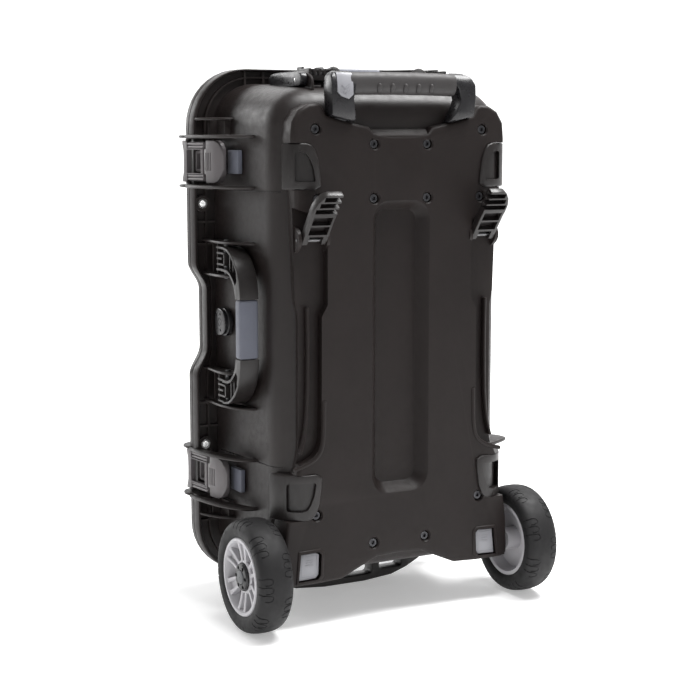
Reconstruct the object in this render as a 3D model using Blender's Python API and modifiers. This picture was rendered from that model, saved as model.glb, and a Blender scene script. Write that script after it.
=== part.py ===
"""Wheeled hard carrying case for a drone, standing upright on its two wheels and its foot.

World frame: +Z up, the case's 559 mm side; +X toward the hinge side, -X the latch side;
-Y the back plate with the telescopic handle, +Y the lid. The origin is on the floor under
the middle of the bounding box. Helpers take millimetres: x, v, z, with v the depth measured
from the back plate's outer face toward the lid.
"""
import math

import bmesh
import bpy
from mathutils import Matrix, Vector

MM = 0.001
BACK_V = -88.15             # row Y of the back plate's outer face

# Case body
MID_Z = 304.5               # middle height of the shells
FLANGE_HX, FLANGE_HZ, FLANGE_R = 172.0, 279.5, 62.0
BASE_BACK_V, RIM_V, PART_GAP = 12.0, 159.85, 0.3
BACK_HX, BACK_HZ, BACK_R = 137.0, 257.0, 40.0
RIM_HX, RIM_HZ, RIM_R = 146.5, 263.5, 46.0
BACK_FILLET, WALL = 32.0, 3.0
FLANGE_V = 150.0
LID_V, LID_OUT_V, LID_FILLET = 160.15, 212.0, 20.0
LID_FLANGE_V = 170.0
CORNER_SEGS = 6

# Stations along the height
LATCH_Z = (485.0, 144.0)
EYELET_Z = (440.0, 176.0)
HANDLE_Z = 313.0
HINGE_Z = (470.0, 140.0)
HINGE_X, HINGE_V = 172.0, 160.0

# Wheels
WHEEL_R, WHEEL_V, WHEEL_Z = 60.0, 19.3, 60.0
WHEEL_IN, WHEEL_OUT = 144.5, 182.4
RIM_WHEEL_R, AXLE_R = 40.0, 4.0

# Telescopic handle
TUBE_X, TUBE_V = 70.0, 7.35
TUBE_W, TUBE_D = 18.0, 8.7

# Swing handles
PIVOT_U, PIVOT_V = 153.5, 104.0
END_PIVOT_V = 55.0
END_RISE = 421.8            # lifts the side handle's outward distance onto the top end

DARK = ("case_charcoal", (0.045, 0.041, 0.040), 0.55, 0.0)
LIDC = ("lid_charcoal", (0.045, 0.041, 0.040), 0.55, 0.0)
PLATE = ("plate_charcoal", (0.040, 0.036, 0.035), 0.6, 0.0)
TAUPE = ("latch_taupe", (0.130, 0.118, 0.120), 0.45, 0.0)
GREY = ("grip_slate", (0.14, 0.16, 0.20), 0.75, 0.0)
LIGHT = ("button_grey", (0.55, 0.55, 0.58), 0.4, 0.0)
STEEL = ("bright_steel", (0.70, 0.70, 0.70), 0.25, 1.0)
ALU = ("anodised_tube", (0.35, 0.35, 0.36), 0.35, 1.0)
RUBBER = ("tyre_rubber", (0.045, 0.045, 0.050), 0.8, 0.0)
WHEELC = ("rim_grey", (0.30, 0.31, 0.33), 0.45, 0.0)
BLACK = ("gloss_black", (0.02, 0.02, 0.02), 0.35, 0.0)
FOAM = ("foam_graphite", (0.06, 0.06, 0.065), 0.95, 0.0)
SEAL = ("seal_rubber", (0.03, 0.03, 0.03), 0.85, 0.0)

for old in list(bpy.data.objects):
    bpy.data.objects.remove(old, do_unlink=True)

PARTS = bpy.data.collections.new("drone_carrying_case")
CUTTERS = bpy.data.collections.new("cutters")
bpy.context.scene.collection.children.link(PARTS)
bpy.context.scene.collection.children.link(CUTTERS)


def pt(x, v, z):
    return Vector((x * MM, (v + BACK_V) * MM, z * MM))


def material(spec):
    name, rgb, rough, metal = spec
    mat = bpy.data.materials.get(name)
    if mat is None:
        mat = bpy.data.materials.new(name)
        mat.use_nodes = True
        bsdf = mat.node_tree.nodes["Principled BSDF"]
        bsdf.inputs["Base Color"].default_value = (*rgb, 1.0)
        bsdf.inputs["Roughness"].default_value = rough
        bsdf.inputs["Metallic"].default_value = metal
        mat.diffuse_color = (*rgb, 1.0)
    return mat


def emit(name, bm, spec, origin=None, angle=35.0):
    """Turn the bmesh into a named object; spec None makes a hidden cutter."""
    bmesh.ops.recalc_face_normals(bm, faces=bm.faces[:])
    base = Vector((0.0, 0.0, 0.0)) if origin is None else pt(*origin)
    bmesh.ops.translate(bm, verts=bm.verts[:], vec=-base)
    mesh = bpy.data.meshes.new(name)
    bm.to_mesh(mesh)
    bm.free()
    obj = bpy.data.objects.new(name, mesh)
    obj.location = base
    if spec is None:
        CUTTERS.objects.link(obj)
        obj.hide_render = True
        obj.display_type = "WIRE"
    else:
        PARTS.objects.link(obj)
        mesh.materials.append(material(spec))
        mesh.shade_smooth()
        mesh.set_sharp_from_angle(angle=math.radians(angle))
    return obj


def rounded(hx, hz, radius, cz=MID_Z, segs=CORNER_SEGS):
    """Rounded rectangle in x and z about (0, cz), counter-clockwise."""
    ring = []
    for sx, sz, start in ((1, -1, -90), (1, 1, 0), (-1, 1, 90), (-1, -1, 180)):
        for k in range(segs + 1):
            a = math.radians(start + 90.0 * k / segs)
            ring.append((sx * (hx - radius) + radius * math.cos(a),
                         cz + sz * (hz - radius) + radius * math.sin(a)))
    return ring


def loft(name, rings, spec, origin=None):
    """Closed solid through rings of equal count; each ring is (v, [(x, z), ...])."""
    bm = bmesh.new()
    rows = [[bm.verts.new(pt(x, v, z)) for x, z in ring] for v, ring in rings]
    count = len(rows[0])
    for a, b in zip(rows, rows[1:]):
        for i in range(count):
            j = (i + 1) % count
            bm.faces.new((a[i], a[j], b[j], b[i]))
    bm.faces.new(rows[0])
    bm.faces.new(rows[-1])
    return emit(name, bm, spec, origin)


def prism(name, outline, axis, lo, hi, spec, origin=None):
    """Polygon pushed from lo to hi along one axis: 'x' takes (v, z), 'v' (x, z), 'z' (x, v)."""
    bm = bmesh.new()
    ends = []
    for at in (lo, hi):
        if axis == "x":
            ends.append([bm.verts.new(pt(at, a, b)) for a, b in outline])
        elif axis == "v":
            ends.append([bm.verts.new(pt(a, at, b)) for a, b in outline])
        else:
            ends.append([bm.verts.new(pt(a, b, at)) for a, b in outline])
    count = len(outline)
    for i in range(count):
        j = (i + 1) % count
        bm.faces.new((ends[0][i], ends[0][j], ends[1][j], ends[1][i]))
    bm.faces.new(ends[0])
    bm.faces.new(ends[1])
    return emit(name, bm, spec, origin)


def box(name, x, v, z, spec, origin=None):
    return prism(name, ((x[0], v[0]), (x[1], v[0]), (x[1], v[1]), (x[0], v[1])),
                 "z", z[0], z[1], spec, origin)


def cylinder(name, centre, axis, radius, lo, hi, spec, segs=20, origin=None):
    ring = []
    for k in range(segs):
        a = 2 * math.pi * (k + 0.5) / segs
        ring.append((centre[0] + radius * math.cos(a), centre[1] + radius * math.sin(a)))
    return prism(name, ring, axis, lo, hi, spec, origin)


def turned(name, profile, side, spec, segs):
    """Closed profile of (radius, distance outward) turned about a wheel's axis."""
    bm = bmesh.new()
    verts = [bm.verts.new((r * MM, 0.0, a * MM)) for r, a in reversed(profile)]
    for i in range(len(verts)):
        bm.edges.new((verts[i], verts[(i + 1) % len(verts)]))
    mesh = bpy.data.meshes.new(name)
    bm.to_mesh(mesh)
    bm.free()
    obj = bpy.data.objects.new(name, mesh)
    PARTS.objects.link(obj)
    mesh.materials.append(material(spec))
    obj.location = pt(0, WHEEL_V, WHEEL_Z)
    obj.rotation_euler = (0.0, side * math.pi / 2, 0.0)
    screw = obj.modifiers.new("turn", "SCREW")
    screw.axis = "Z"
    screw.angle = 2 * math.pi
    screw.steps = segs
    screw.render_steps = segs
    screw.use_merge_vertices = True
    screw.merge_threshold = 0.00001
    screw.use_smooth_shade = True
    screw.use_normal_calculate = False
    return obj


def combine(target, tool, operation):
    mod = target.modifiers.new(tool.name, "BOOLEAN")
    mod.operation = operation
    mod.solver = "EXACT"
    mod.object = tool
    return target


def cut(target, tool):
    return combine(target, tool, "DIFFERENCE")


def join(target, tool):
    return combine(target, tool, "UNION")


def soften(obj, width, segments=2, angle=40.0):
    mod = obj.modifiers.new("soften", "BEVEL")
    mod.width = width * MM
    mod.segments = segments
    mod.limit_method = "ANGLE"
    mod.angle_limit = math.radians(angle)
    mod.use_clamp_overlap = True
    return obj


def mirror_x(points):
    return points + [(-x, z) for x, z in reversed(points) if abs(x) > 1e-6]


# ---------------------------------------------------------------- shells
def tub_rings(back_v, rim_v, back, rim, fillet, grow, steps=4):
    """Rings of the tub from its closed face to its rim, all faces moved out by grow."""
    sign = 1.0 if rim_v > back_v else -1.0
    radius = fillet + grow
    rings = []
    for k in range(steps + 1):
        a = 0.5 * math.pi * k / steps
        inset = radius * (1 - math.sin(a)) - grow
        v = back_v + sign * (radius * (1 - math.cos(a)) - grow)
        rings.append((v, rounded(back[0] - inset, back[1] - inset, back[2] - inset * 0.5)))
    rings.append((rim_v, rounded(rim[0] + grow, rim[1] + grow, rim[2] + grow)))
    return rings


BACK = (BACK_HX, BACK_HZ, BACK_R)
RIM = (RIM_HX, RIM_HZ, RIM_R)


def base_solid(name, grow, rim_v):
    return loft(name, tub_rings(BASE_BACK_V, rim_v, BACK, RIM, BACK_FILLET, grow), None)


flange = (FLANGE_HX, FLANGE_HZ, FLANGE_R)
base_rings = tub_rings(BASE_BACK_V, FLANGE_V - 5, BACK, RIM, BACK_FILLET, 0.0)
base_rings.append((FLANGE_V, rounded(*flange)))
base_rings.append((RIM_V - 1.2, rounded(*flange)))
base_rings.append((RIM_V, rounded(FLANGE_HX - 1, FLANGE_HZ - 1, FLANGE_R - 1)))
base = loft("base_shell", base_rings, DARK)

lid_rings = [(LID_V, rounded(FLANGE_HX - 1, FLANGE_HZ - 1, FLANGE_R - 1)),
             (LID_V + 1.2, rounded(*flange)),
             (LID_FLANGE_V - 3, rounded(*flange)),
             (LID_FLANGE_V, rounded(FLANGE_HX - 3, FLANGE_HZ - 3, FLANGE_R - 3)),
             (LID_FLANGE_V + 1, rounded(150.0, 267.0, 48.0))]
for step in range(5):
    a = math.radians(90.0 * step / 4)
    inset = LID_FILLET * (1 - math.cos(a))
    lid_rings.append((LID_OUT_V - LID_FILLET * (1 - math.sin(a)),
                      rounded(146.0 - inset, 263.0 - inset, 45.0 - inset * 0.6)))
lid = loft("lid_shell", lid_rings, LIDC)

# Latch fins and handle lugs moulded on the base, latch fins on the lid
FIN = 3.5
for zc in LATCH_Z:
    for dz in (-26.5, 26.5):
        z0 = zc + dz - FIN / 2
        fin = [(-139, 66), (-147, 67), (-157, 76), (-169, 102), (-177, 136), (-178, 152), (-178, 159.4), (-139, 159.4)]
        join(base, prism("c_fin", fin, "z", z0, z0 + FIN, None))
        fin = [(-142, 160.6), (-178, 160.6), (-178.5, 168), (-176.5, 182), (-170, 188), (-142, 192)]
        join(lid, prism("c_lidfin", fin, "z", z0, z0 + FIN, None))
REST_TAB = [(135.2, 40), (146, 41), (172, 56), (179, 64), (176, 84), (150, 112), (141.2, 116)]
join(base, prism("c_resttab", REST_TAB, "z", 163.8, 167.4, None))
LUG = [(138, 66), (147, 68), (157, 84), (161.5, 104), (162, 118), (160, 152), (138, 152)]
END_LUG = [(138, 32), (150, 33), (158, 42), (162, 55), (162, 88), (158, 104), (149, 116), (138, 120)]
LUG_IN = [(138, 77), (147, 79), (156, 88), (161.5, 104), (162, 118), (160, 152), (138, 152)]
END_LUG_IN = [(138, 35), (151, 35), (159, 43), (162, 55), (159, 67), (150, 77), (138, 81)]
for dw in (-87.5, -52.0, 52.0, 87.5):
    side_lug = [(-u, v) for u, v in (LUG_IN if abs(dw) < 60 else LUG)]
    zl = HANDLE_Z + dw
    join(base, prism("c_lug", side_lug, "z", zl - FIN / 2, zl + FIN / 2, None))
    end_lug = [(v, u + END_RISE) for u, v in (END_LUG_IN if abs(dw) < 60 else END_LUG)]
    join(base, prism("c_endlug", end_lug, "x", dw - FIN / 2, dw + FIN / 2, None))

# Hinge knuckles: base, lid, base
for zc in HINGE_Z:
    zone = cylinder("c_hingezone", (HINGE_X, HINGE_V), "z", 5.5, zc - 31, zc + 31, None)
    cut(base, zone)
    cut(lid, zone)
    for z0, z1, shell in ((zc - 30.5, zc - 10.4, base), (zc + 10.4, zc + 30.5, base),
                          (zc - 10.0, zc + 10.0, lid)):
        web_v = (151, 159.7) if shell is base else (160.3, 169)
        join(shell, box("c_web", (163, HINGE_X), web_v, (z0, z1), None))
        join(shell, cylinder("c_knuckle", (HINGE_X, HINGE_V), "z", 4.9, z0, z1, None))
    bore = cylinder("c_hingebore", (HINGE_X, HINGE_V), "z", 2.3, zc - 32, zc + 32, None, 12)
    cut(base, bore)
    cut(lid, bore)
    tag = "upper" if zc > MID_Z else "lower"
    cylinder("hinge_pin_" + tag, (HINGE_X, HINGE_V), "z", 2.0, zc - 30.5, zc + 30.5, STEEL, 12)

# Flange gaps at the latches and at the side handle
for zc in LATCH_Z:
    cut(base, box("c_latchgap", (-190, -152.2), (140, 162), (zc - 24.6, zc + 24.6), None))
    cut(lid, box("c_lidlatchgap", (-190, -152.2), (158, 176), (zc - 24.6, zc + 24.6), None))
notch = [(-159.5, 345), (-159.5, 281), (-162.5, 270), (-170, 256), (-172.5, 250), (-190, 250),
         (-190, 376), (-172.5, 376), (-170, 370), (-162.5, 356)]
cut(base, prism("c_notch", notch, "v", 140, 162, None))
cut(lid, prism("c_lidnotch", notch, "v", 158, 176, None))

# Lid's face ribs, then its cavity and seal groove
for x0 in (-86.0, 62.0):
    bar = loft("c_rib", [(209.0, [(x0, 80), (x0 + 24, 80), (x0 + 24, 529), (x0, 529)]),
                         (216.9, [(x0 + 4, 86), (x0 + 20, 86), (x0 + 20, 523), (x0 + 4, 523)])], None)
    join(lid, bar)
lid_hole = [(LID_V - 3, rounded(143.5, 260.5, 43.0)), (LID_FLANGE_V, rounded(143.5, 260.5, 43.0))]
for step in range(4):
    a = math.radians(30.0 * step)
    inset = 17.0 * (1 - math.cos(a))
    lid_hole.append((209.0 - 17.0 * (1 - math.sin(a)),
                     rounded(142.5 - inset, 259.5 - inset, 42.0 - inset * 0.6)))
cut(lid, loft("c_lidhole", lid_hole, None))
groove = loft("c_groove", [(LID_V - 2, rounded(150.9, 267.9, 50.5)), (164.6, rounded(150.9, 267.9, 50.5))], None)
groove_core = loft("c_groovecore", [(LID_V - 4, rounded(145.9, 262.9, 45.5)),
                                    (170.0, rounded(145.9, 262.9, 45.5))], None)
cut(groove, groove_core)
cut(lid, groove)
seal = loft("lid_seal", [(LID_V + 0.15, rounded(150.5, 267.5, 50.0)), (164.2, rounded(150.5, 267.5, 50.0))], SEAL)
cut(seal, loft("c_sealcore", [(LID_V - 4, rounded(146.3, 263.3, 46.0)), (170.0, rounded(146.3, 263.3, 46.0))], None))

# Base cavity, with the wall carried round the axle pockets and the plate's middle channel
AXLE_POCKET = ((92.0, 160.0), (-5.0, 38.5), (20.0, 82.5))
CHANNEL = ((-33.0, 33.0), (0.0, 16.3), (136.0, 444.0))
for side in (-1, 1):
    xs = sorted((side * AXLE_POCKET[0][0], side * AXLE_POCKET[0][1]))
    cut(base, box("c_axlepocket", xs, AXLE_POCKET[1], AXLE_POCKET[2], None))
cut(base, box("c_channel", *CHANNEL, None))


def cavity(name, inset, v0):
    """Room inside the base, inset from the shell's outer skin, its floor at v0."""
    rings = tub_rings(BASE_BACK_V, 163.0, BACK, RIM, BACK_FILLET, -inset)
    solid = loft(name, rings, None)
    margin = inset
    for side in (-1, 1):
        xs = sorted((side * (AXLE_POCKET[0][0] - margin), side * 170.0))
        cut(solid, box("c_keepaxle", xs, (-10.0, AXLE_POCKET[1][1] + margin),
                       (10.0, AXLE_POCKET[2][1] + margin), None))
    low = box("c_keepfloor", (-160, 160), (-10, v0), (20, 590), None)
    cut(solid, low)
    return solid


hollow = cavity("c_hollow", WALL, BASE_BACK_V + WALL)
cut(hollow, box("c_keepchannel", (-36, 36), (0, 19.3), (133, 447), None))
cut(base, hollow)

# ---------------------------------------------------------------- foam
foam = cavity("foam_body", WALL + 0.5, 20.0)
CUTTERS.objects.unlink(foam)
PARTS.objects.link(foam)
foam.name = "base_foam"
foam.hide_render = False
foam.display_type = "TEXTURED"
foam.data.materials.append(material(FOAM))
cut(foam, box("c_foamtop", (-170, 170), (154.0, 180), (10, 600), None))
POCKETS = [((-45, 45), (56, 160), (330, 500)), ((-118, 118), (84, 160), (452, 486)),
           ((-118, 118), (84, 160), (344, 378)), ((-122, -18), (72, 160), (200, 300)),
           ((8, 38), (66, 160), (200, 300)), ((50, 80), (66, 160), (200, 300)),
           ((92, 122), (66, 160), (200, 300)), ((-112, 0), (60, 160), (92, 170)),
           ((24, 112), (60, 160), (104, 170))]
for number, pocket in enumerate(POCKETS):
    cut(foam, box("c_pocket%d" % number, *pocket, None))
lid_pad = loft("lid_foam", [(172.0, rounded(138, 255, 38)), (176.0, rounded(142, 259, 41)),
                            (190.0, rounded(142, 259, 41)), (205.0, rounded(130, 247, 33))], FOAM)

# ---------------------------------------------------------------- back plate
half = [(0, 68), (28, 66), (66, 50), (103, 46), (134, 46), (139, 56), (138, 84), (131, 150), (123, 186),
        (117, 205), (117, 330), (121, 345), (124, 465), (128, 478), (128, 516), (123, 532), (112, 542),
        (98, 545), (91, 541), (85, 530.5), (38, 521.5), (34, 514.5), (0, 513)]
plate = prism("back_plate", mirror_x(half), "v", 0.0, 40.0, PLATE)
soften(plate, 2.2, 2)
cut(plate, base_solid("c_plateseat", PART_GAP, RIM_V + 10))
for side in (-1, 1):
    def span(a, b):
        return sorted((side * a, side * b))
    join(plate, box("c_bracket", span(96, 139), (5.2, 36.5), (46.6, 79.5), None))
    cut(plate, prism("c_margin", [(side * 94, 212), (side * 94, 328), (side * 87.2, 340),
                                  (side * 87.2, 424), (side * 102, 432), (side * 140, 446),
                                  (side * 140, 196), (side * 108, 198)], "v", -5, 9.2, None))
    join(plate, prism("c_ear", [(10.5, 394), (3.0, 399), (-0.6, 404), (-0.6, 411), (3.0, 416), (10.5, 421)],
                      "x", *span(116.8, 121.0), None))
    cut(plate, box("c_tubeslot", span(60.7, 79.3), (2.7, 14.0), (80, 560), None))
    cut(plate, cylinder("c_axlebore", (WHEEL_V, WHEEL_Z), "x", AXLE_R + 0.3, *span(100, 150), None, 16))
    cut(plate, box("c_buttonseat", span(93.7, 122.3), (-3.0, 9.5), (51.2, 79.8), None))
    cut(plate, cylinder("c_legbore", (3.5, 407), "x", 1.8, *span(80, 125), None, 10))
join(plate, box("c_pan", (-32.6, 32.6), (4.0, 16.0), (136.4, 443.6), None))
recess = prism("c_recess", [(-22, 140), (22, 140), (29, 147), (29, 433), (22, 440), (-22, 440),
                            (-29, 433), (-29, 147)], "v", -4, 13.2, None)
cut(plate, recess)
SCREWS = [(100, 519), (32, 504), (32, 448), (98, 448), (100, 119.5), (32, 82)]
for sx, sz in SCREWS:
    for side in (-1, 1):
        cut(plate, cylinder("c_screwwell", (side * sx, sz), "v", 5.4, -4, 6.0, None, 12))

# ---------------------------------------------------------------- corner bumpers
BUMPER_FACE = -3.0


def bumper_outline(side, zone, spread):
    """Bumper seen from the back, its rounded corner up on the upper pair, down on the lower."""
    z_mid, half_z, lean = (481.5, 23.5, 1) if zone == "upper" else (140.0, 24.0, -1)
    half_z = half_z + spread
    return [(side * (96 - spread), z_mid - lean * half_z), (side * (96.5 - spread), z_mid - lean * half_z * 0.4),
            (side * (99 - spread), z_mid + lean * half_z * 0.3), (side * (104 - spread), z_mid + lean * half_z * 0.8),
            (side * (110 - spread), z_mid + lean * half_z), (side * 160, z_mid + lean * half_z),
            (side * 160, z_mid - lean * half_z)]


for zone, reach_v in (("upper", 22.0), ("lower", 33.0)):
    for tag, side in (("left", -1), ("right", 1)):
        name = "corner_bumper_%s_%s" % (zone, tag)
        bumper = prism(name, bumper_outline(side, zone, 0.0), "v", -6.0, reach_v, DARK)
        skin = loft("c_skin_" + name, tub_rings(BUMPER_FACE, RIM_V, (BACK_HX + 5, BACK_HZ + 5, BACK_R),
                                                (RIM_HX + 5, RIM_HZ + 5, RIM_R), BACK_FILLET + 6, 0.0), None)
        combine(bumper, skin, "INTERSECT")
        soften(bumper, 1.5, 2, 50)
        cut(bumper, base_solid("c_seat_" + name, PART_GAP, RIM_V + 10))
        cut(plate, prism("c_bumperseat_" + name, bumper_outline(side, zone, PART_GAP), "v", -10.0, 50.0, None))

# ---------------------------------------------------------------- telescopic handle
OUTER_TOP, MID_TOP, INNER_TOP = 523.0, 526.5, 530.0
for tag, side in (("left", -1), ("right", 1)):
    x0 = side * TUBE_X

    def tube(name, width, depth, wall, z0, z1):
        body = box(name, (x0 - width / 2, x0 + width / 2), (TUBE_V - depth / 2, TUBE_V + depth / 2),
                   (z0, z1), ALU)
        if wall:
            hole = (x0 - width / 2 + wall, x0 + width / 2 - wall)
            deep = (TUBE_V - depth / 2 + wall, TUBE_V + depth / 2 - wall)
            cut(body, box("c_bore_" + name, hole, deep, (z0 - 5, z1 + 5), None))
        return body

    tube("outer_tube_" + tag, TUBE_W, TUBE_D, 0.9, 86.0, OUTER_TOP)
    tube("middle_tube_" + tag, TUBE_W - 2.4, TUBE_D - 2.4, 0.9, 92.0, MID_TOP)
    tube("inner_tube_" + tag, TUBE_W - 4.8, TUBE_D - 4.8, 0.0, 98.0, INNER_TOP)

bow = [(86, 566), (80.5, 576), (74, 577.5), (0, 577.5), (-74, 577.5), (-80.5, 576), (-86, 566), (-85, 545), (-83.5, 532),
       (-74, 530.3), (-55, 527), (-64, 550), (-58, 554), (0, 553.5), (58, 554), (64, 550), (55, 527), (74, 530.3),
       (83.5, 532), (85, 545)]
bow[bow.index((-55, 527))] = (-56, 530.3)
bow[bow.index((55, 527))] = (56, 530.3)
grip = prism("trolley_handle", bow, "v", -8.0, 11.6, BLACK)
join(grip, box("c_griproot", (-80, 80), (5.0, 20.0), (556.5, 575.5), None))
soften(grip, 3.0, 2, 50)
cut(grip, prism("c_buttonwell", [(-80.4, 574.5), (-61.6, 574.5), (-61.6, 553), (-67, 548.6), (-76, 551.6),
                                 (-80.4, 556)], "v", -12.0, -3.0, None))
button = prism("handle_button", [(-80.0, 574.1), (-62.0, 574.1), (-62.0, 553.2), (-67.1, 549.1), (-75.8, 552.0),
                                 (-80.0, 556.2)], "v", -8.8, -5.2, LIGHT)
soften(button, 0.7, 1)

# ---------------------------------------------------------------- wheels
EDGE = WHEEL_OUT - 19.0
for tag, side in (("left", -1), ("right", 1)):
    tyre = [(41.2, -17.0), (44.0, -18.6), (52.0, -19.0), (57.0, -16.5), (59.3, -11.0), (60.0, -4.0), (60.0, 4.0),
            (59.3, 11.0), (57.0, 16.5), (52.0, 19.0), (44.0, 18.6), (41.2, 17.0)]
    turned("tyre_" + tag, [(r, a + EDGE) for r, a in tyre], side, RUBBER, 36)
    rim = [(40.9, 17.6), (37.2, 17.6), (36.0, 14.5), (36.0, 11.0), (20.0, 12.8), (15.2, 12.8), (15.2, 5.0), (4.4, 5.0),
           (4.4, -17.8), (12.0, -17.8), (13.0, 2.0), (36.0, 2.0), (36.0, -16.0), (40.9, -16.0)]
    wheel = turned("wheel_rim_" + tag, [(r, a + EDGE) for r, a in rim], side, WHEELC, 24)
    for k in range(6):
        a = math.radians(60 * k + 30)
        window = []
        for radius, half_angle in ((18.0, 15.0), (34.5, 18.0), (34.5, -18.0), (18.0, -15.0)):
            b = a + math.radians(half_angle)
            window.append((WHEEL_V + radius * math.cos(b), WHEEL_Z + radius * math.sin(b)))
        cut(wheel, prism("c_window_%s%d" % (tag, k), window, "x", *sorted((side * 158, side * 190)), None))
    cap = cylinder("hub_cap_" + tag, (WHEEL_V, WHEEL_Z), "x", 14.7,
                   *sorted((side * (EDGE + 10.2), side * (EDGE + 16.5))), BLACK, 18)
    soften(cap, 1.5, 1)
    cylinder("axle_" + tag, (WHEEL_V, WHEEL_Z), "x", AXLE_R, *sorted((side * 101.0, side * (EDGE + 9.8))), STEEL, 16)
    xs = sorted((side * 94.0, side * 122.0))
    release = box("release_button_" + tag, xs, (3.4, 7.0), (51.5, 79.5), LIGHT)
    soften(release, 1.2, 2)

# ---------------------------------------------------------------- fold-out legs
LEG_PIVOT_V, LEG_PIVOT_Z, LEG_TURN = 3.5, 407.0, 36.5
for tag, side in (("left", -1), ("right", 1)):
    def span(a, b):
        return sorted((side * a, side * b))
    origin = (side * 102.0, LEG_PIVOT_V, LEG_PIVOT_Z)
    flank = [(-4.2, -2.5), (-2.5, -4.2), (2.5, -4.2), (4.3, -2.5), (4.3, 58), (2.8, 61.5), (-5.3, 61.5), (-5.3, 38),
             (-4.2, 26)]
    leg = prism("leg_" + tag, [(LEG_PIVOT_V + a, LEG_PIVOT_Z + b) for a, b in flank], "x", *span(88.0, 116.0),
                DARK, origin)
    for k in range(3):
        zk = LEG_PIVOT_Z + 38.5 + 8.0 * k
        slot = box("c_comb_%s%d" % (tag, k), span(86.0, 113.0), (LEG_PIVOT_V - 12, LEG_PIVOT_V + 1.0),
                   (zk, zk + 5.2), None, origin)
        slot.parent = leg
        slot.location = (0.0, 0.0, 0.0)
        cut(leg, slot)
    for k in range(2):
        zk = LEG_PIVOT_Z + 9.0 + 12.5 * k
        slot = box("c_ladder_%s%d" % (tag, k), span(91.0, 112.5), (LEG_PIVOT_V - 12, LEG_PIVOT_V + 1.5),
                   (zk, zk + 9.5), None, origin)
        slot.parent = leg
        slot.location = (0.0, 0.0, 0.0)
        cut(leg, slot)
    outer_corner = prism("c_corner_" + tag, [(side * 118, LEG_PIVOT_Z + 44), (side * 116.5, LEG_PIVOT_Z + 44),
                                             (side * 107, LEG_PIVOT_Z + 62), (side * 107, LEG_PIVOT_Z + 66),
                                             (side * 118, LEG_PIVOT_Z + 66)], "v", -20, 20, None, origin)
    outer_corner.parent = leg
    outer_corner.location = (0.0, 0.0, 0.0)
    cut(leg, outer_corner)
    bore = cylinder("c_pinbore_" + tag, (LEG_PIVOT_V, LEG_PIVOT_Z), "x", 2.0, *span(85, 120), None, 10, origin)
    bore.parent = leg
    bore.location = (0.0, 0.0, 0.0)
    cut(leg, bore)
    soften(leg, 0.6, 1, 60)
    leg.rotation_euler = (math.radians(LEG_TURN), 0.0, 0.0)
    cylinder("leg_pin_" + tag, (LEG_PIVOT_V, LEG_PIVOT_Z), "x", 1.5, *span(84.5, 121.4), STEEL, 10)

# ---------------------------------------------------------------- latches
LATCH_HINGE, PULL_HINGE = (-166.5, 177.0), (-161.5, 131.5)
for tag, zc in (("upper", LATCH_Z[0]), ("lower", LATCH_Z[1])):
    frame = [(-162.8, 179.5), (-164.5, 181.4), (-168.2, 181.4), (-170.8, 178.5), (-171, 174), (-165.8, 136.6),
             (-159.8, 136.6), (-160, 146), (-162.8, 170)]
    hoop = prism("latch_frame_" + tag, frame, "z", zc - 22.5, zc + 22.5, TAUPE, (*LATCH_HINGE, zc))
    cut(hoop, box("c_hoopwindow", (-185, -150), (133, 166), (zc - 13, zc + 13), None))
    join(hoop, cylinder("c_trunnion", LATCH_HINGE, "z", 2.2, zc - 24.4, zc + 24.4, None, 12))
    soften(hoop, 0.8, 1, 60)
    link = prism("latch_link_" + tag, [(-157.0, 167), (-161.6, 167), (-158.6, 138), (-154.0, 138)], "z",
                 zc - 11.5, zc + 11.5, TAUPE, (*LATCH_HINGE, zc))
    cut(link, box("c_linkwindow", (-175, -150), (142.5, 160), (zc - 8.5, zc + 8.5), None))
    pull = [(-158.4, 131), (-153.4, 107), (-153.2, 102.5), (-154.5, 101), (-157.5, 101), (-159.8, 104), (-165.8, 131),
            (-165.2, 134.4), (-163.4, 135.7), (-160.6, 135.9), (-158.6, 134)]
    lever = prism("latch_pull_" + tag, pull, "z", zc - 22.5, zc + 22.5, TAUPE, (*PULL_HINGE, zc))
    soften(lever, 0.8, 1, 60)
    prism("latch_keeper_" + tag, [(-147.0, 88), (-147.4, 113), (-144.2, 114.5), (-142.2, 90), (-141.8, 87)],
          "z", zc - 12.5, zc + 12.5, GREY)

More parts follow.
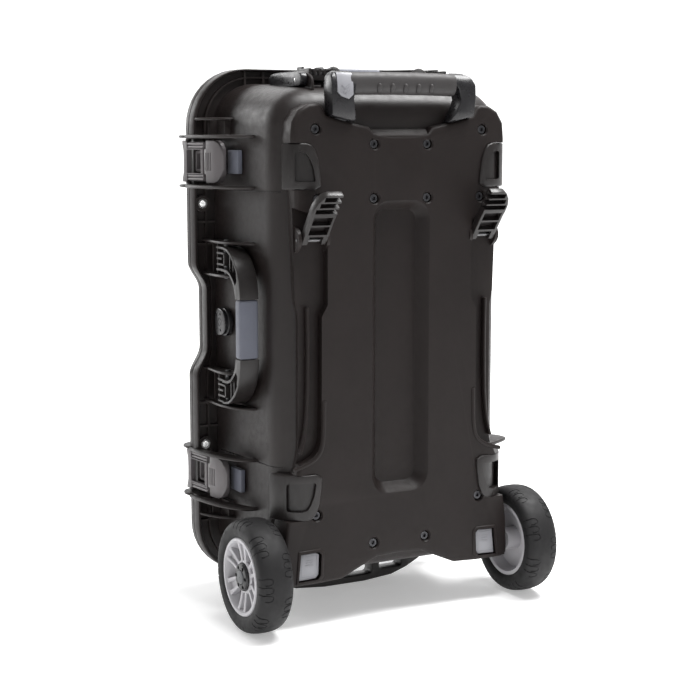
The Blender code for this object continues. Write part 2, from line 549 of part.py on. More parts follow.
# ---------------------------------------------------------------- swing handles
def swing(name, place, pivot_v, toward, reach, low, high):
    """U handle in (u outward, v depth, w along) with a soft sleeve; place maps to (x, v, z).

    toward is -1 when the handle folds to the back plate and +1 when it folds to the lid.
    """
    def at(distance):
        return pivot_v + toward * distance

    outline = [(at(-7.5), 83.5), (at(-7.5), 57.5), (at(reach - 36), 59), (at(reach - 20), 50), (at(reach - 13.5), 36),
               (at(reach - 13.5), -36), (at(reach - 20), -50), (at(reach - 36), -59), (at(-7.5), -57.5),
               (at(-7.5), -83.5), (at(reach - 40), -83.5), (at(reach - 22), -76), (at(reach - 6), -60),
               (at(reach), -40), (at(reach), 40), (at(reach - 6), 60), (at(reach - 22), 76), (at(reach - 40), 83.5)]
    origin = place(PIVOT_U, pivot_v, 0)

    def slab(piece, pts, u0, u1, spec):
        bm = bmesh.new()
        ends = []
        for u in (u0, u1):
            ends.append([bm.verts.new(pt(*place(u, v, w))) for v, w in pts])
        for i in range(len(pts)):
            j = (i + 1) % len(pts)
            bm.faces.new((ends[0][i], ends[0][j], ends[1][j], ends[1][i]))
        bm.faces.new(ends[0])
        bm.faces.new(ends[1])
        return emit(piece, bm, spec, origin)

    def block(piece, u, v, w, spec):
        return slab(piece, [(v[0], w[0]), (v[1], w[0]), (v[1], w[1]), (v[0], w[1])], u[0], u[1], spec)

    body = slab(name, outline, low, high, BLACK)
    for u in ((140.0, low + 2.4), (high - 3.0, 170.0)):
        for w in ((-90, -50), (50, 90)):
            cut(body, block("c_root_" + name, u, (at(-12), at(11.5)), w, None))
    soften(body, 2.5, 2, 45)
    for u in ((high - 2.8, 170.0), (140.0, low + 3.0)):
        cut(body, block("c_waist_" + name, u, (at(reach - 20), at(reach + 5)), (-31.5, 31.5), None))
    cut(body, block("c_waistin_" + name, (140.0, 170.0), (at(reach - 18), at(reach - 11.2)), (-31.5, 31.5), None))
    cut(body, block("c_waistout_" + name, (140.0, 170.0), (at(reach - 2.3), at(reach + 5)), (-31.5, 31.5), None))
    sleeve = block(name + "_grip", (low - 0.2, high + 0.2), (at(reach - 13.8), at(reach + 0.3)), (-31.2, 31.2), GREY)
    soften(sleeve, 2.5, 2, 45)
    cut(sleeve, block("c_bar_" + name, (low + 2.7, high - 2.5), (at(reach - 11.5), at(reach - 2.0)), (-40, 40), None))
    for sign in (-1, 1):
        ring = []
        for k in range(12):
            a = 2 * math.pi * (k + 0.5) / 12
            ring.append((math.cos(a), math.sin(a)))
        w = sorted((sign * 49.0, sign * 90.4))
        for label, radius, spec in (("bore", 3.0, None), ("pin", 2.7, STEEL)):
            bm = bmesh.new()
            ends = []
            for spot in w:
                ends.append([bm.verts.new(pt(*place(PIVOT_U + radius * c, pivot_v + radius * s, spot)))
                             for c, s in ring])
            for i in range(12):
                j = (i + 1) % 12
                bm.faces.new((ends[0][i], ends[0][j], ends[1][j], ends[1][i]))
            bm.faces.new(ends[0])
            bm.faces.new(ends[1])
            if spec is None:
                tool = emit("c_pivotbore", bm, None)
                cut(body, tool)
                cut(base, tool)
            else:
                emit("%s_pin_%s" % (name, "a" if sign < 0 else "b"), bm, spec)
    return body


side_handle = swing("side_handle", lambda u, v, w: (-u, v, HANDLE_Z + w), PIVOT_V, -1, 57.5, 143.6, 164.8)
end_handle = swing("end_handle", lambda u, v, w: (w, v, u + END_RISE), END_PIVOT_V, 1, 57.5, 144.8, 162.0)

# ---------------------------------------------------------------- fittings and foot
valve = cylinder("pressure_valve", (125.0, HANDLE_Z), "x", 15.3, -153.0, -146.2, BLACK, 24)
soften(valve, 1.2, 2)
for tag, zc in (("upper", EYELET_Z[0]), ("lower", EYELET_Z[1])):
    for owner, shell, v0, v1 in (("base", base, 147.5, RIM_V - 0.1), ("lid", lid, LID_V + 0.1, 171.5)):
        well = cylinder("c_eyelet", (-162.0, zc), "v", 5.6, v0 - 8, v1 + 8, None, 16)
        cut(shell, well)
        ring = cylinder("eyelet_%s_%s" % (owner, tag), (-162.0, zc), "v", 5.3, v0, v1, STEEL, 16)
        cut(ring, cylinder("c_eyeletbore", (-162.0, zc), "v", 3.4, v0 - 8, v1 + 8, None, 16))

foot_outline = [(-92, 15), (-56, 0), (56, 0), (92, 15), (118, 34), (118, 40.4), (-118, 40.4), (-118, 34)]
foot = prism("stand_foot", foot_outline, "v", 126.0, 144.6, DARK)
for x0, x1, z1 in ((-36, 36, 30), (-74, -47, 32), (47, 74, 32)):
    low = 9 if abs(x0) < 40 and abs(x1) < 40 else 14
    cut(foot, box("c_footwindow", (x0, x1), (120, 150), (low, z1), None))
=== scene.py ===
"""Looks of the wheeled carrying case: finer shells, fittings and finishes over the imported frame.

Helpers take millimetres: x, v, z, with v the depth measured from the back plate's outer face
toward the lid, and z up from the floor.
"""
import math

import bmesh
import bpy
from mathutils import Matrix, Vector


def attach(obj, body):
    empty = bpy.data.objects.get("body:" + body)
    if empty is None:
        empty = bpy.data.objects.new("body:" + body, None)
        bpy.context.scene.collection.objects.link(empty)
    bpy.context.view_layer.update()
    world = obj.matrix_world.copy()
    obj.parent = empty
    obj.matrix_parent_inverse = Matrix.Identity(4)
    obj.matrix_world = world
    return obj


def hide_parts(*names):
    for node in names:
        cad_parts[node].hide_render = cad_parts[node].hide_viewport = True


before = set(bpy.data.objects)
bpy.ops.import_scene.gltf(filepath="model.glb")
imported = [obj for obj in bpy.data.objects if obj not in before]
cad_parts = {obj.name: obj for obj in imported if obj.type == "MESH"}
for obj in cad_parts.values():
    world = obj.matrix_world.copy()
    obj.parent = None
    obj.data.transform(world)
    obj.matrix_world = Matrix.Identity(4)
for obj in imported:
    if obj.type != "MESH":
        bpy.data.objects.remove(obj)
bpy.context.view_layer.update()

MM = 0.001
BACK_V = -88.15
MID_Z = 304.5
LATCH_Z = (485, 144)
HANDLE_Z = 313
HINGE_Z = (470, 140)
HINGE_AXIS = (172, 160)
EYELET_Z = (440, 176)
WHEEL_V, WHEEL_Z, WHEEL_OUT = 19.3, 60, 182.4
PHOTO_AZIMUTH = -28.4


def pt(x, v, z):
    return Vector((x * MM, (v + BACK_V) * MM, z * MM))


def smoothstep(a, b, x):
    t = min(1, max(0, (x - a) / (b - a)))
    return t * t * (3 - 2 * t)


# ---------------------------------------------------------------- finishes
def ramp(nodes, spots):
    node = nodes.new("ShaderNodeValToRGB")
    while len(node.color_ramp.elements) < len(spots):
        node.color_ramp.elements.new(0.5)
    for element, (place, value) in zip(node.color_ramp.elements, spots):
        element.position = place
        element.color = (value, value, value, 1)
    return node


def finish(name, rgb, rough, grain=900, bump=0.12, mottle=0.12, wear=0.35, metal=0, worn=None,
           stretch=(1, 1, 1), gleam=0.5, sheen=0, cells=0):
    """Procedural surface: grain bump, mottled colour, uneven roughness and paler worn edges."""
    mat = bpy.data.materials.new("look_" + name)
    mat.use_nodes = True
    nodes, links = mat.node_tree.nodes, mat.node_tree.links
    bsdf = nodes["Principled BSDF"]
    coords = nodes.new("ShaderNodeTexCoord")
    scale = nodes.new("ShaderNodeMapping")
    scale.inputs["Scale"].default_value = stretch
    links.new(coords.outputs["Object"], scale.inputs["Vector"])

    def noise(size, detail):
        node = nodes.new("ShaderNodeTexNoise")
        node.inputs["Scale"].default_value = size
        node.inputs["Detail"].default_value = detail
        links.new(scale.outputs["Vector"], node.inputs["Vector"])
        return node

    broad = noise(22, 5)
    fine = noise(grain, 2)
    shade = nodes.new("ShaderNodeMapRange")
    shade.inputs["From Min"].default_value = 0.3
    shade.inputs["From Max"].default_value = 0.7
    shade.inputs["To Min"].default_value = 1 - mottle
    shade.inputs["To Max"].default_value = 1 + mottle
    links.new(broad.outputs["Fac"], shade.inputs["Value"])
    tone = nodes.new("ShaderNodeVectorMath")
    tone.operation = "SCALE"
    tone.inputs[0].default_value = rgb
    links.new(shade.outputs["Result"], tone.inputs["Scale"])
    geometry = nodes.new("ShaderNodeNewGeometry")
    edge = ramp(nodes, ((0.53, 0), (0.64, 1)))
    links.new(geometry.outputs["Pointiness"], edge.inputs["Fac"])
    patch = noise(160, 4)
    patchy = nodes.new("ShaderNodeMath")
    patchy.operation = "MULTIPLY"
    links.new(edge.outputs["Color"], patchy.inputs[0])
    links.new(patch.outputs["Fac"], patchy.inputs[1])
    amount = nodes.new("ShaderNodeMath")
    amount.operation = "MULTIPLY"
    amount.inputs[1].default_value = wear
    links.new(patchy.outputs["Value"], amount.inputs[0])
    mix = nodes.new("ShaderNodeMix")
    mix.data_type = "RGBA"
    links.new(amount.outputs["Value"], mix.inputs["Factor"])
    links.new(tone.outputs["Vector"], mix.inputs["A"])
    mix.inputs["B"].default_value = (*(worn or tuple(min(1, c * 2.6 + 0.03) for c in rgb)), 1)
    links.new(mix.outputs["Result"], bsdf.inputs["Base Color"])
    uneven = nodes.new("ShaderNodeMapRange")
    uneven.inputs["From Min"].default_value = 0.3
    uneven.inputs["From Max"].default_value = 0.7
    uneven.inputs["To Min"].default_value = max(0.05, rough - 0.07)
    uneven.inputs["To Max"].default_value = min(1, rough + 0.07)
    links.new(patch.outputs["Fac"], uneven.inputs["Value"])
    links.new(uneven.outputs["Result"], bsdf.inputs["Roughness"])
    height = fine.outputs["Fac"]
    if cells:
        cell = nodes.new("ShaderNodeTexVoronoi")
        cell.inputs["Scale"].default_value = cells
        links.new(scale.outputs["Vector"], cell.inputs["Vector"])
        height = cell.outputs["Distance"]
    relief = nodes.new("ShaderNodeBump")
    relief.inputs["Strength"].default_value = bump
    relief.inputs["Distance"].default_value = 0.0004
    links.new(height, relief.inputs["Height"])
    links.new(relief.outputs["Normal"], bsdf.inputs["Normal"])
    bsdf.inputs["Metallic"].default_value = metal
    bsdf.inputs["Specular IOR Level"].default_value = gleam
    bsdf.inputs["Sheen Weight"].default_value = sheen
    return mat


SHELL = finish("shell_grain", (0.0140, 0.0106, 0.0100), 0.40, 1300, 0.30, 0.10, 0.45, gleam=0.30)
SMOOTH = finish("smooth_moulding", (0.0135, 0.0112, 0.0108), 0.36, 900, 0.08, 0.10, 0.50, gleam=0.40)
PLATE = finish("plate_grain", (0.0128, 0.0094, 0.0088), 0.48, 1200, 0.30, 0.10, 0.45, gleam=0.20)
GLOSS = finish("black_moulding", (0.013, 0.0125, 0.0140), 0.30, 700, 0.05, 0.12, 0.08, gleam=0.42)
GRIP = finish("grip_rubber", (0.038, 0.035, 0.035), 0.55, 800, 0.16, 0.10, 0.30, gleam=0.40)
TAUPE = finish("latch_moulding", (0.105, 0.095, 0.098), 0.42, 900, 0.10, 0.10, 0.40)
SLATE = finish("soft_slate", (0.098, 0.104, 0.132), 0.62, 700, 0.12, 0.07, 0.15, sheen=0.12)
LIGHT = finish("button_moulding", (0.25, 0.25, 0.27), 0.38, 800, 0.06, 0.05, 0.10, worn=(0.3, 0.3, 0.3))
STEEL = finish("steel", (0.66, 0.66, 0.66), 0.24, 500, 0.05, 0.08, 0.20, 1, (0.9, 0.9, 0.9))
TUBE = finish("black_anodised_tube", (0.05, 0.05, 0.053), 0.36,
              600, 0.10, 0.06, 0.40, 0.9, (0.6, 0.6, 0.6), (1, 1, 0.03))
ROLLER = finish("polished_roller", (0.42, 0.46, 0.50), 0.18, 500, 0.03, 0.08, 0.20, 0.55)
SCREW = finish("blackened_screw", (0.05, 0.05, 0.055), 0.35, 600, 0.08, 0.15, 0.60, 0.8, (0.5, 0.5, 0.5))
TYRE = finish("tyre_rubber", (0.0115, 0.0110, 0.0116), 0.60, 600, 0.22, 0.15, 0.25, gleam=0.28)
BADGE = finish("badge_moulding", (0.085, 0.087, 0.092), 0.45, 800, 0.08, 0.07, 0.25)
RIM = finish("rim_moulding", (0.44, 0.43, 0.45), 0.40, 800, 0.08, 0.07, 0.25, worn=(0.5, 0.5, 0.5))
FOAM = finish("foam", (0.040, 0.040, 0.044), 0.95, 500, 0.60, 0.14, 0.30, cells=420)
SEAL = finish("seal_rubber", (0.012, 0.012, 0.012), 0.72, 500, 0.15, 0.12, 0.20)


# ---------------------------------------------------------------- mesh helpers
SHARP = math.radians(35)


def emit(name, bm, mat):
    bmesh.ops.recalc_face_normals(bm, faces=bm.faces[:])
    mesh = bpy.data.meshes.new(name)
    bm.to_mesh(mesh)
    bm.free()
    obj = bpy.data.objects.new(name, mesh)
    bpy.context.scene.collection.objects.link(obj)
    if mat is not None:
        mesh.materials.append(mat)
    mesh.shade_smooth()
    mesh.set_sharp_from_angle(angle=SHARP)
    return obj


def skin(bm, rows, closed=False):
    """Quads through rows of points, closed round each row; capped unless the rows close up."""
    made = [[bm.verts.new(p) for p in row] for row in rows]
    count = len(made[0])
    pairs = list(zip(made, made[1:])) + ([(made[-1], made[0])] if closed else [])
    for a, b in pairs:
        for i in range(count):
            j = (i + 1) % count
            bm.faces.new((a[i], a[j], b[j], b[i]))
    if not closed:
        bm.faces.new(made[0])
        bm.faces.new(made[-1])


def rounded(hx, hz, radius, cz=MID_Z, segs=10, cx=0):
    ring = []
    for sx, sz, start in ((1, -1, -90), (1, 1, 0), (-1, 1, 90), (-1, -1, 180)):
        for k in range(segs + 1):
            a = math.radians(start + 90 * k / segs)
            ring.append((cx + sx * (hx - radius) + radius * math.cos(a),
                         cz + sz * (hz - radius) + radius * math.sin(a)))
    return ring


def loft(name, rings, mat):
    bm = bmesh.new()
    skin(bm, [[pt(x, v, z) for x, z in ring] for v, ring in rings])
    return emit(name, bm, mat)


def lift(axis, a, b, at):
    if axis == "x":
        return pt(at, a, b)
    return pt(a, at, b) if axis == "v" else pt(a, b, at)


def prism(name, outline, axis, lo, hi, mat):
    """Polygon pushed from lo to hi along one axis: 'x' takes (v, z), 'v' (x, z), 'z' (x, v)."""
    bm = bmesh.new()
    skin(bm, [[lift(axis, a, b, at) for a, b in outline] for at in (lo, hi)])
    return emit(name, bm, mat)


def box(name, x, v, z, mat):
    return prism(name, ((x[0], v[0]), (x[1], v[0]), (x[1], v[1]), (x[0], v[1])), "z", z[0], z[1], mat)


def circle(centre, radius, segs=32):
    return [(centre[0] + radius * math.cos(2 * math.pi * (k + 0.5) / segs),
             centre[1] + radius * math.sin(2 * math.pi * (k + 0.5) / segs)) for k in range(segs)]


def cylinder(name, centre, axis, radius, lo, hi, mat):
    return prism(name, circle(centre, radius), axis, lo, hi, mat)


def eased(points, rounds=2, closed=True):
    """Corner cutting: turns a coarse outline into a soft one."""
    for _ in range(rounds):
        fresh = [] if closed else [points[0]]
        count = len(points)
        for i in range(count if closed else count - 1):
            p, q = points[i], points[(i + 1) % count]
            fresh.append(tuple(0.75 * a + 0.25 * b for a, b in zip(p, q)))
            fresh.append(tuple(0.25 * a + 0.75 * b for a, b in zip(p, q)))
        if not closed:
            fresh.append(points[-1])
        points = fresh
    return points


def tube(name, path, half_w, half_h, mat, segs=12, up=(0, 0, 1), power=2):
    """Superellipse section carried along a path of (x, v, z) points."""
    bm = bmesh.new()
    spots = [pt(*p) for p in path]
    rows = []
    for i, spot in enumerate(spots):
        ahead = (spots[min(i + 1, len(spots) - 1)] - spots[max(i - 1, 0)]).normalized()
        side = ahead.cross(Vector(up)).normalized()
        top = side.cross(ahead).normalized()
        row = []
        for k in range(segs):
            a = 2 * math.pi * k / segs
            c, s = math.cos(a), math.sin(a)
            u = math.copysign(abs(c) ** (2 / power), c) * half_w * MM
            w = math.copysign(abs(s) ** (2 / power), s) * half_h * MM
            row.append(spot + side * u + top * w)
        rows.append(row)
    skin(bm, rows)
    return emit(name, bm, mat)


def lathe(name, profile, side, mat, segs=72):
    """Closed profile of (radius, distance outward) turned about a wheel's axis."""
    bm = bmesh.new()
    rows = []
    for k in range(segs):
        a = 2 * math.pi * k / segs
        rows.append([pt(side * out, WHEEL_V + r * math.cos(a), WHEEL_Z + r * math.sin(a))
                     for r, out in profile])
    skin(bm, rows, closed=True)
    return emit(name, bm, mat)


def soften(obj, width, segments=2, angle=35):
    mod = obj.modifiers.new("soften", "BEVEL")
    mod.width = width * MM
    mod.segments = segments
    mod.limit_method = "ANGLE"
    mod.angle_limit = math.radians(angle)
    mod.use_clamp_overlap = True
    mod.harden_normals = False
    return obj


def cut(target, tool, operation="DIFFERENCE"):
    mod = target.modifiers.new(tool.name, "BOOLEAN")
    mod.operation = operation
    mod.solver = "EXACT"
    mod.object = tool
    return target


def carve(target, x, v, z):
    cut(target, box("c", x, v, z, None))


def pierce(target, outline, axis, lo, hi):
    cut(target, prism("c", outline, axis, lo, hi, None))


def drop(tool):
    for mod in tool.modifiers:
        if mod.type == "BOOLEAN":
            drop(mod.object)
    bpy.data.objects.remove(tool, do_unlink=True)


def bake(obj):
    """Replace the object's mesh by its modified one and drop the cutters that made it."""
    bpy.context.view_layer.update()
    mesh = bpy.data.meshes.new_from_object(obj.evaluated_get(bpy.context.evaluated_depsgraph_get()))
    tools = [mod.object for mod in obj.modifiers if mod.type == "BOOLEAN"]
    obj.modifiers.clear()
    obj.data = mesh
    mesh.shade_smooth()
    mesh.set_sharp_from_angle(angle=SHARP)
    for tool in tools:
        drop(tool)
    return obj


def gather(name, parts, mat=None, angle=35):
    """One object from several meshes that touch or sit on each other."""
    bpy.context.view_layer.update()
    graph = bpy.context.evaluated_depsgraph_get()
    bm = bmesh.new()
    for part in parts:
        bm.from_mesh(part.evaluated_get(graph).to_mesh())
        part.evaluated_get(graph).to_mesh_clear()
    first = mat or parts[0].data.materials[0]
    mesh = bpy.data.meshes.new(name)
    bm.to_mesh(mesh)
    bm.free()
    for part in parts:
        bpy.data.objects.remove(part, do_unlink=True)
    obj = bpy.data.objects.new(name, mesh)
    bpy.context.scene.collection.objects.link(obj)
    mesh.materials.append(first)
    mesh.shade_smooth()
    mesh.set_sharp_from_angle(angle=math.radians(angle))
    return obj


def place(obj, body, slot, *nodes):
    """The finished piece rides with a body and stands for CAD nodes, which it hides; slot is not used."""
    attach(obj, body)
    if nodes:
        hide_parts(*nodes)
    return obj


def flip(side, points):
    """The outline on the given side of the middle."""
    return [(side * x, z) for x, z in points]


def both(a, b, side):
    return tuple(sorted((side * a, side * b)))


# ---------------------------------------------------------------- shells
BACK, RIM_OUT = (137, 257, 40), (146.5, 263.5, 46)
BACK_FILLET = 32
SIDE_STATIONS = [z for z in range(236, 394, 4)]


def notch(z):
    """How far the flange keeps its width beside the carrying handle: 1 full, less in the notch."""
    inside = smoothstep(252, 283, z) * (1 - smoothstep(347, 376, z))
    return 1 - 0.49 * inside


def sided(hx, hz, radius):
    """Rounded rectangle with extra points along the latch side."""
    segs = 10
    ring = rounded(hx, hz, radius, segs=segs)
    left = [(-hx, z) for z in reversed(SIDE_STATIONS)]
    return ring[:3 * (segs + 1)] + left + ring[3 * (segs + 1):]


def flange_ring(t):
    ring = []
    for x, z in sided(146.5 + 25.5 * t, 263.5 + 16 * t, 46 + 16 * t):
        if x < -146.5 and 240 < z < 390:
            x = -(146.5 + 25.5 * t * notch(z))
        ring.append((x, z))
    return ring


def tub_rings(back_v, rim_v, grow):
    steps = 7
    radius = BACK_FILLET + grow
    rings = []
    for k in range(steps + 1):
        a = 0.5 * math.pi * k / steps
        inset = radius * (1 - math.sin(a)) - grow
        v = back_v + radius * (1 - math.cos(a)) - grow
        rings.append((v, sided(BACK[0] - inset, BACK[1] - inset, BACK[2] - inset * 0.5)))
    rings.append((rim_v, sided(RIM_OUT[0] + grow, RIM_OUT[1] + grow, RIM_OUT[2] + grow)))
    return rings


def base_solid(name, grow):
    return loft(name, tub_rings(12, 170, grow), None)


rings = tub_rings(12, 145.5, 0)
for t, v in ((0, 152), (0.36, 152), (0.38, 148.8), (0.47, 148.8), (0.49, 152.5), (0.84, 152.5), (0.87, 147.6),
             (0.90, 146.8), (0.97, 146.8), (1, 148), (1, 159), (0.97, 159.85)):
    rings.append((v, flange_ring(t)))
base = loft("base_body", rings, SHELL)
for zc in LATCH_Z:
    carve(base, (-190, -152.2), (140, 162), (zc - 24.6, zc + 24.6))
hollow = loft("c", tub_rings(12, 163, -3), None)
for side in (-1, 1):
    carve(hollow, both(89, 170, side), (-10, 41.5), (10, 85.5))
    carve(base, both(92, 160, side), (-5, 38.5), (20, 82.5))
carve(hollow, (-160, 160), (-10, 15), (20, 590))
carve(hollow, (-36, 36), (0, 19.3), (133, 447))
carve(base, (-33, 33), (0, 16.3), (136, 444))
cut(base, hollow)
for zc in HINGE_Z:
    cut(base, cylinder("c", HINGE_AXIS, "z", 5.5, zc - 31, zc + 31, None))
for zc in EYELET_Z:
    cut(base, cylinder("c", (-162, zc), "v", 5.6, 138, 168, None))
for z in (169.6, 455.6):
    band = base_solid("c", 2)
    cut(band, base_solid("c", -0.8))
    cut(band, box("c", (-200, -128), (17, 143), (z - 0.6, z + 0.6), None), "INTERSECT")
    cut(base, bake(band))
bake(base)

parts = [base]


def beaded(outline, z, half, bead):
    """Moulded fin across z with a rounded bead along its free edge."""
    curve = eased(outline, 2, closed=False)
    web = prism("f", curve, "z", z - half, z + half, SMOOTH)
    edge = tube("b", [(x, v, z) for x, v in curve], bead, bead * 0.9, SMOOTH, 8)
    return [web, edge]


for zc in LATCH_Z:
    for dz in (-26.5, 26.5):
        parts += beaded([(-139, 66), (-147, 67), (-157, 76), (-169, 102), (-176, 136), (-176.4, 150),
                         (-176.4, 157)], zc + dz, 1.5, 2.1)
    out = 1 if zc > MID_Z else -1
    zf = zc + out * 45
    parts += beaded([(-141, 112), (-149, 113), (-157, 120), (-164, 132), (-169, 144), (-169, 152)],
                    zf, 1.3, 1.8)
    parts.append(box("w", (-150, -143), (114, 150), sorted((zf - 1, zc + out * 27)), SHELL))
    parts.append(box("w", (-160, -141), (134, 136.4), sorted((zf, zc + out * 27)), SHELL))
LUG = [(138, 66), (147, 68), (157, 84), (161.5, 104), (162, 118), (160, 152)]
LUG_IN = [(138, 77), (147, 79), (156, 88), (161.5, 104), (162, 118), (160, 152)]
END_LUG = [(138, 32), (149, 33), (154, 42), (156, 55), (156, 88), (153, 104), (147, 116), (138, 120)]
END_LUG_IN = [(138, 35), (151, 35), (159, 43), (162, 55), (159, 67), (150, 77), (138, 81)]
for dw in (-87.5, -52, 52, 87.5):
    inner = abs(dw) < 60
    parts += beaded([(-u, v) for u, v in (LUG_IN if inner else LUG)], HANDLE_Z + dw, 1.5, 1.75)
    curve = eased(END_LUG_IN if inner else END_LUG, 2, closed=False)
    web = prism("f", [(v, u + 421.8) for u, v in curve], "x", dw - 1.5, dw + 1.5, SHELL)
    edge = tube("b", [(dw, v, u + 421.3) for u, v in curve], 1.7, 1.5, SHELL, 8, up=(1, 0, 0))
    parts += [web, edge]
    parts.append(cylinder("p", (-153.5, 104), "z", 5.6, HANDLE_Z + dw - 1.75, HANDLE_Z + dw + 1.75, SHELL))
    parts.append(cylinder("p", (55, 573), "x", 5, dw - 1.75, dw + 1.75, SHELL))
tab = eased([(135.2, 40), (146, 41), (172, 56), (179, 64), (176, 84), (150, 112), (141.2, 116)], 2)
parts.append(bake(soften(prism("w", tab, "z", 163.8, 167.4, SHELL), 1, 3, 40)))
for sign in (-1, 1):
    z0, z1 = sorted((HANDLE_Z + sign * 52, HANDLE_Z + sign * 87.5))
    parts.append(box("w", (-150, -143), (118, 150), (z0, z1), SHELL))
    for v0 in (122, 134):
        parts.append(box("w", (-156, -143), (v0, v0 + 2.2), (z0, z1), SHELL))
# Cross ribs in the flange's channel, on both long sides and both ends
for z in (90, 118, 196, 222, 396, 420, 462, 508, 530):
    for side in (-1, 1):
        at_latch = side < 0 and any(abs(z - zc) < 27 for zc in LATCH_Z)
        at_hinge = side > 0 and any(abs(z - zc) < 33 for zc in HINGE_Z)
        if at_latch or at_hinge:
            continue
        parts.append(box("w", both(146, 169.5, side), (148.9, 153), (z - 1.1, z + 1.1), SHELL))
for x in range(-110, 111, 22):
    for z0, z1 in ((565.5, 581.5), (27.5, 43.5)):
        parts.append(box("w", (x - 1.1, x + 1.1), (148.9, 153), (z0, z1), SHELL))
for zc in HINGE_Z:
    for z0, z1 in ((zc - 30.5, zc - 10.4), (zc + 10.4, zc + 30.5)):
        parts.append(box("w", (160, 170), (150, 159.4), (z0, z1), SHELL))
        sleeve = prism("w", circle(HINGE_AXIS, 4.9), "z", z0, z1, SHELL)
        pierce(sleeve, circle(HINGE_AXIS, 2.3), "z", z0 - 2, z1 + 2)
        parts.append(bake(sleeve))
for zc in EYELET_Z:
    boss = prism("w", circle((-162, zc), 8.6), "v", 147, 158.5, SHELL)
    pierce(boss, circle((-162, zc), 5.5), "v", 140, 165)
    parts.append(bake(boss))
base = gather("base_body", parts, SHELL)
place(base, "case", "case_charcoal", "base_shell")

rings = [(160.15, flange_ring(0.97)), (161.2, flange_ring(1)), (168, flange_ring(1)),
         (169.4, flange_ring(0.95)), (169.4, flange_ring(0.78)), (167.4, flange_ring(0.74)),
         (167.4, flange_ring(0.30)), (170, flange_ring(0.22))]
for step in range(8):
    a = math.radians(90 * step / 7)
    inset = 20 * (1 - math.cos(a))
    rings.append((192 + 20 * math.sin(a), sided(146 - inset, 263 - inset, 45 - inset * 0.6)))
lid = loft("lid_body", rings, SHELL)
for x0 in (-86, 62):
    rib = loft("c", [(209, rounded(12, 224.5, 5, 304.5, 4, x0 + 12)),
                     (214.6, rounded(11, 223, 5, 304.5, 4, x0 + 12)),
                     (216.9, rounded(8.5, 219, 5, 304.5, 4, x0 + 12))], None)
    cut(lid, rib, "UNION")
rings = [(157, rounded(143.5, 260.5, 43)), (170, rounded(143.5, 260.5, 43))]
for step in range(6):
    a = math.radians(18 * step)
    inset = 17 * (1 - math.cos(a))
    rings.append((192 + 17 * math.sin(a), rounded(142.5 - inset, 259.5 - inset, 42 - inset * 0.6)))
cut(lid, loft("c", rings, None))
groove = loft("g", [(158, rounded(150.9, 267.9, 50.5)), (164.6, rounded(150.9, 267.9, 50.5))], None)
cut(groove, loft("c", [(156, rounded(145.9, 262.9, 45.5)), (170, rounded(145.9, 262.9, 45.5))], None))
cut(lid, groove)
for zc in LATCH_Z:
    carve(lid, (-190, -152.2), (158, 176), (zc - 24.6, zc + 24.6))
for zc in HINGE_Z:
    cut(lid, cylinder("c", HINGE_AXIS, "z", 5.5, zc - 31, zc + 31, None))
for zc in EYELET_Z:
    cut(lid, cylinder("c", (-162, zc), "v", 5.6, 150, 180, None))
bake(lid)
parts = [lid]
for zc in LATCH_Z:
    for dz in (-26.5, 26.5):
        parts += beaded([(-142, 162.5), (-174, 162.5), (-176.4, 170), (-174, 181), (-168, 187), (-142, 191)],
                        zc + dz, 1.3, 1.75)
for zc in LATCH_Z:
    shoulder = [(-145, 162.5), (-155.5, 162.5), (-157, 168), (-161.6, 172.6), (-160.8, 181.4),
                (-164.6, 184.4), (-164, 187.6), (-157, 190.6), (-150, 192.4), (-143, 193)]
    parts.append(bake(soften(prism("w", shoulder, "z", zc - 25, zc + 25, SHELL), 1.2, 2, 20)))
for zc in HINGE_Z:
    parts.append(box("w", (160, 170), (160.6, 169), (zc - 10, zc + 10), SHELL))
    sleeve = prism("w", circle(HINGE_AXIS, 4.9), "z", zc - 10, zc + 10, SHELL)
    pierce(sleeve, circle(HINGE_AXIS, 2.3), "z", zc - 12, zc + 12)
    parts.append(bake(sleeve))
for z in (90, 118, 196, 222, 396, 420, 508, 530):
    parts.append(box("w", (150, 169), (166.4, 169.2), (z - 1.1, z + 1.1), SHELL))
lid = gather("lid_body", parts, SHELL)
place(lid, "lid", "lid_charcoal", "lid_shell")

# ---------------------------------------------------------------- back plate
TAG_WELL = [(119.6, 80.6), (98.6, 81.2), (95.6, 78), (96.6, 56), (100, 51.5), (122.6, 50.8)]
half = [(0, 67.5), (28, 66), (62, 51), (70, 47.5), (100, 46), (132, 46), (138.5, 50), (139, 60), (137.5, 90),
        (129, 150), (121, 170), (117.6, 190), (117, 330), (120.5, 345), (124, 462), (128, 478), (128, 510),
        (126.5, 526), (119, 538), (108, 544), (98, 545), (92.5, 542), (87.5, 533), (70, 528.3), (52, 524.3),
        (38, 521.5), (32.5, 515), (16, 513.2), (0, 512.9)]
outline = half + [(-x, z) for x, z in reversed(half[1:-1])]
plate = prism("plate_body", outline, "v", 0, 40, PLATE)
soften(plate, 4.2, 4, 60)
cut(plate, base_solid("c", 0.3))
for side in (-1, 1):
    margin = prism("c", flip(side, ((140, 172), (124, 174.5), (112, 178), (103.5, 182.6), (98, 189),
                                    (95.6, 197), (94.6, 212), (94, 328), (87.2, 340), (87.2, 424), (102, 432),
                                    (140, 446))), "v", -5, 9.2, None)
    cut(plate, margin)
    carve(plate, both(60.7, 79.3, side), (2.7, 14), (80, 560))
    pierce(plate, flip(side, TAG_WELL), "v", -3, 12)
screws = [(100, 519), (32, 504), (32, 448), (98, 448), (100, 119.5), (32, 82)]
spots = [(side * x, z) for side in (-1, 1) for x, z in screws]
wells = []
for x, z in spots:
    bm = bmesh.new()
    skin(bm, [[pt(px, v, pz) for px, pz in circle((x, z), r, 28)]
              for r, v in ((7.2, -0.6), (6.6, 0.3), (5.5, 1.6), (5.4, 6))])
    wells.append(emit("c", bm, None))
cut(plate, gather("c", wells, SCREW))
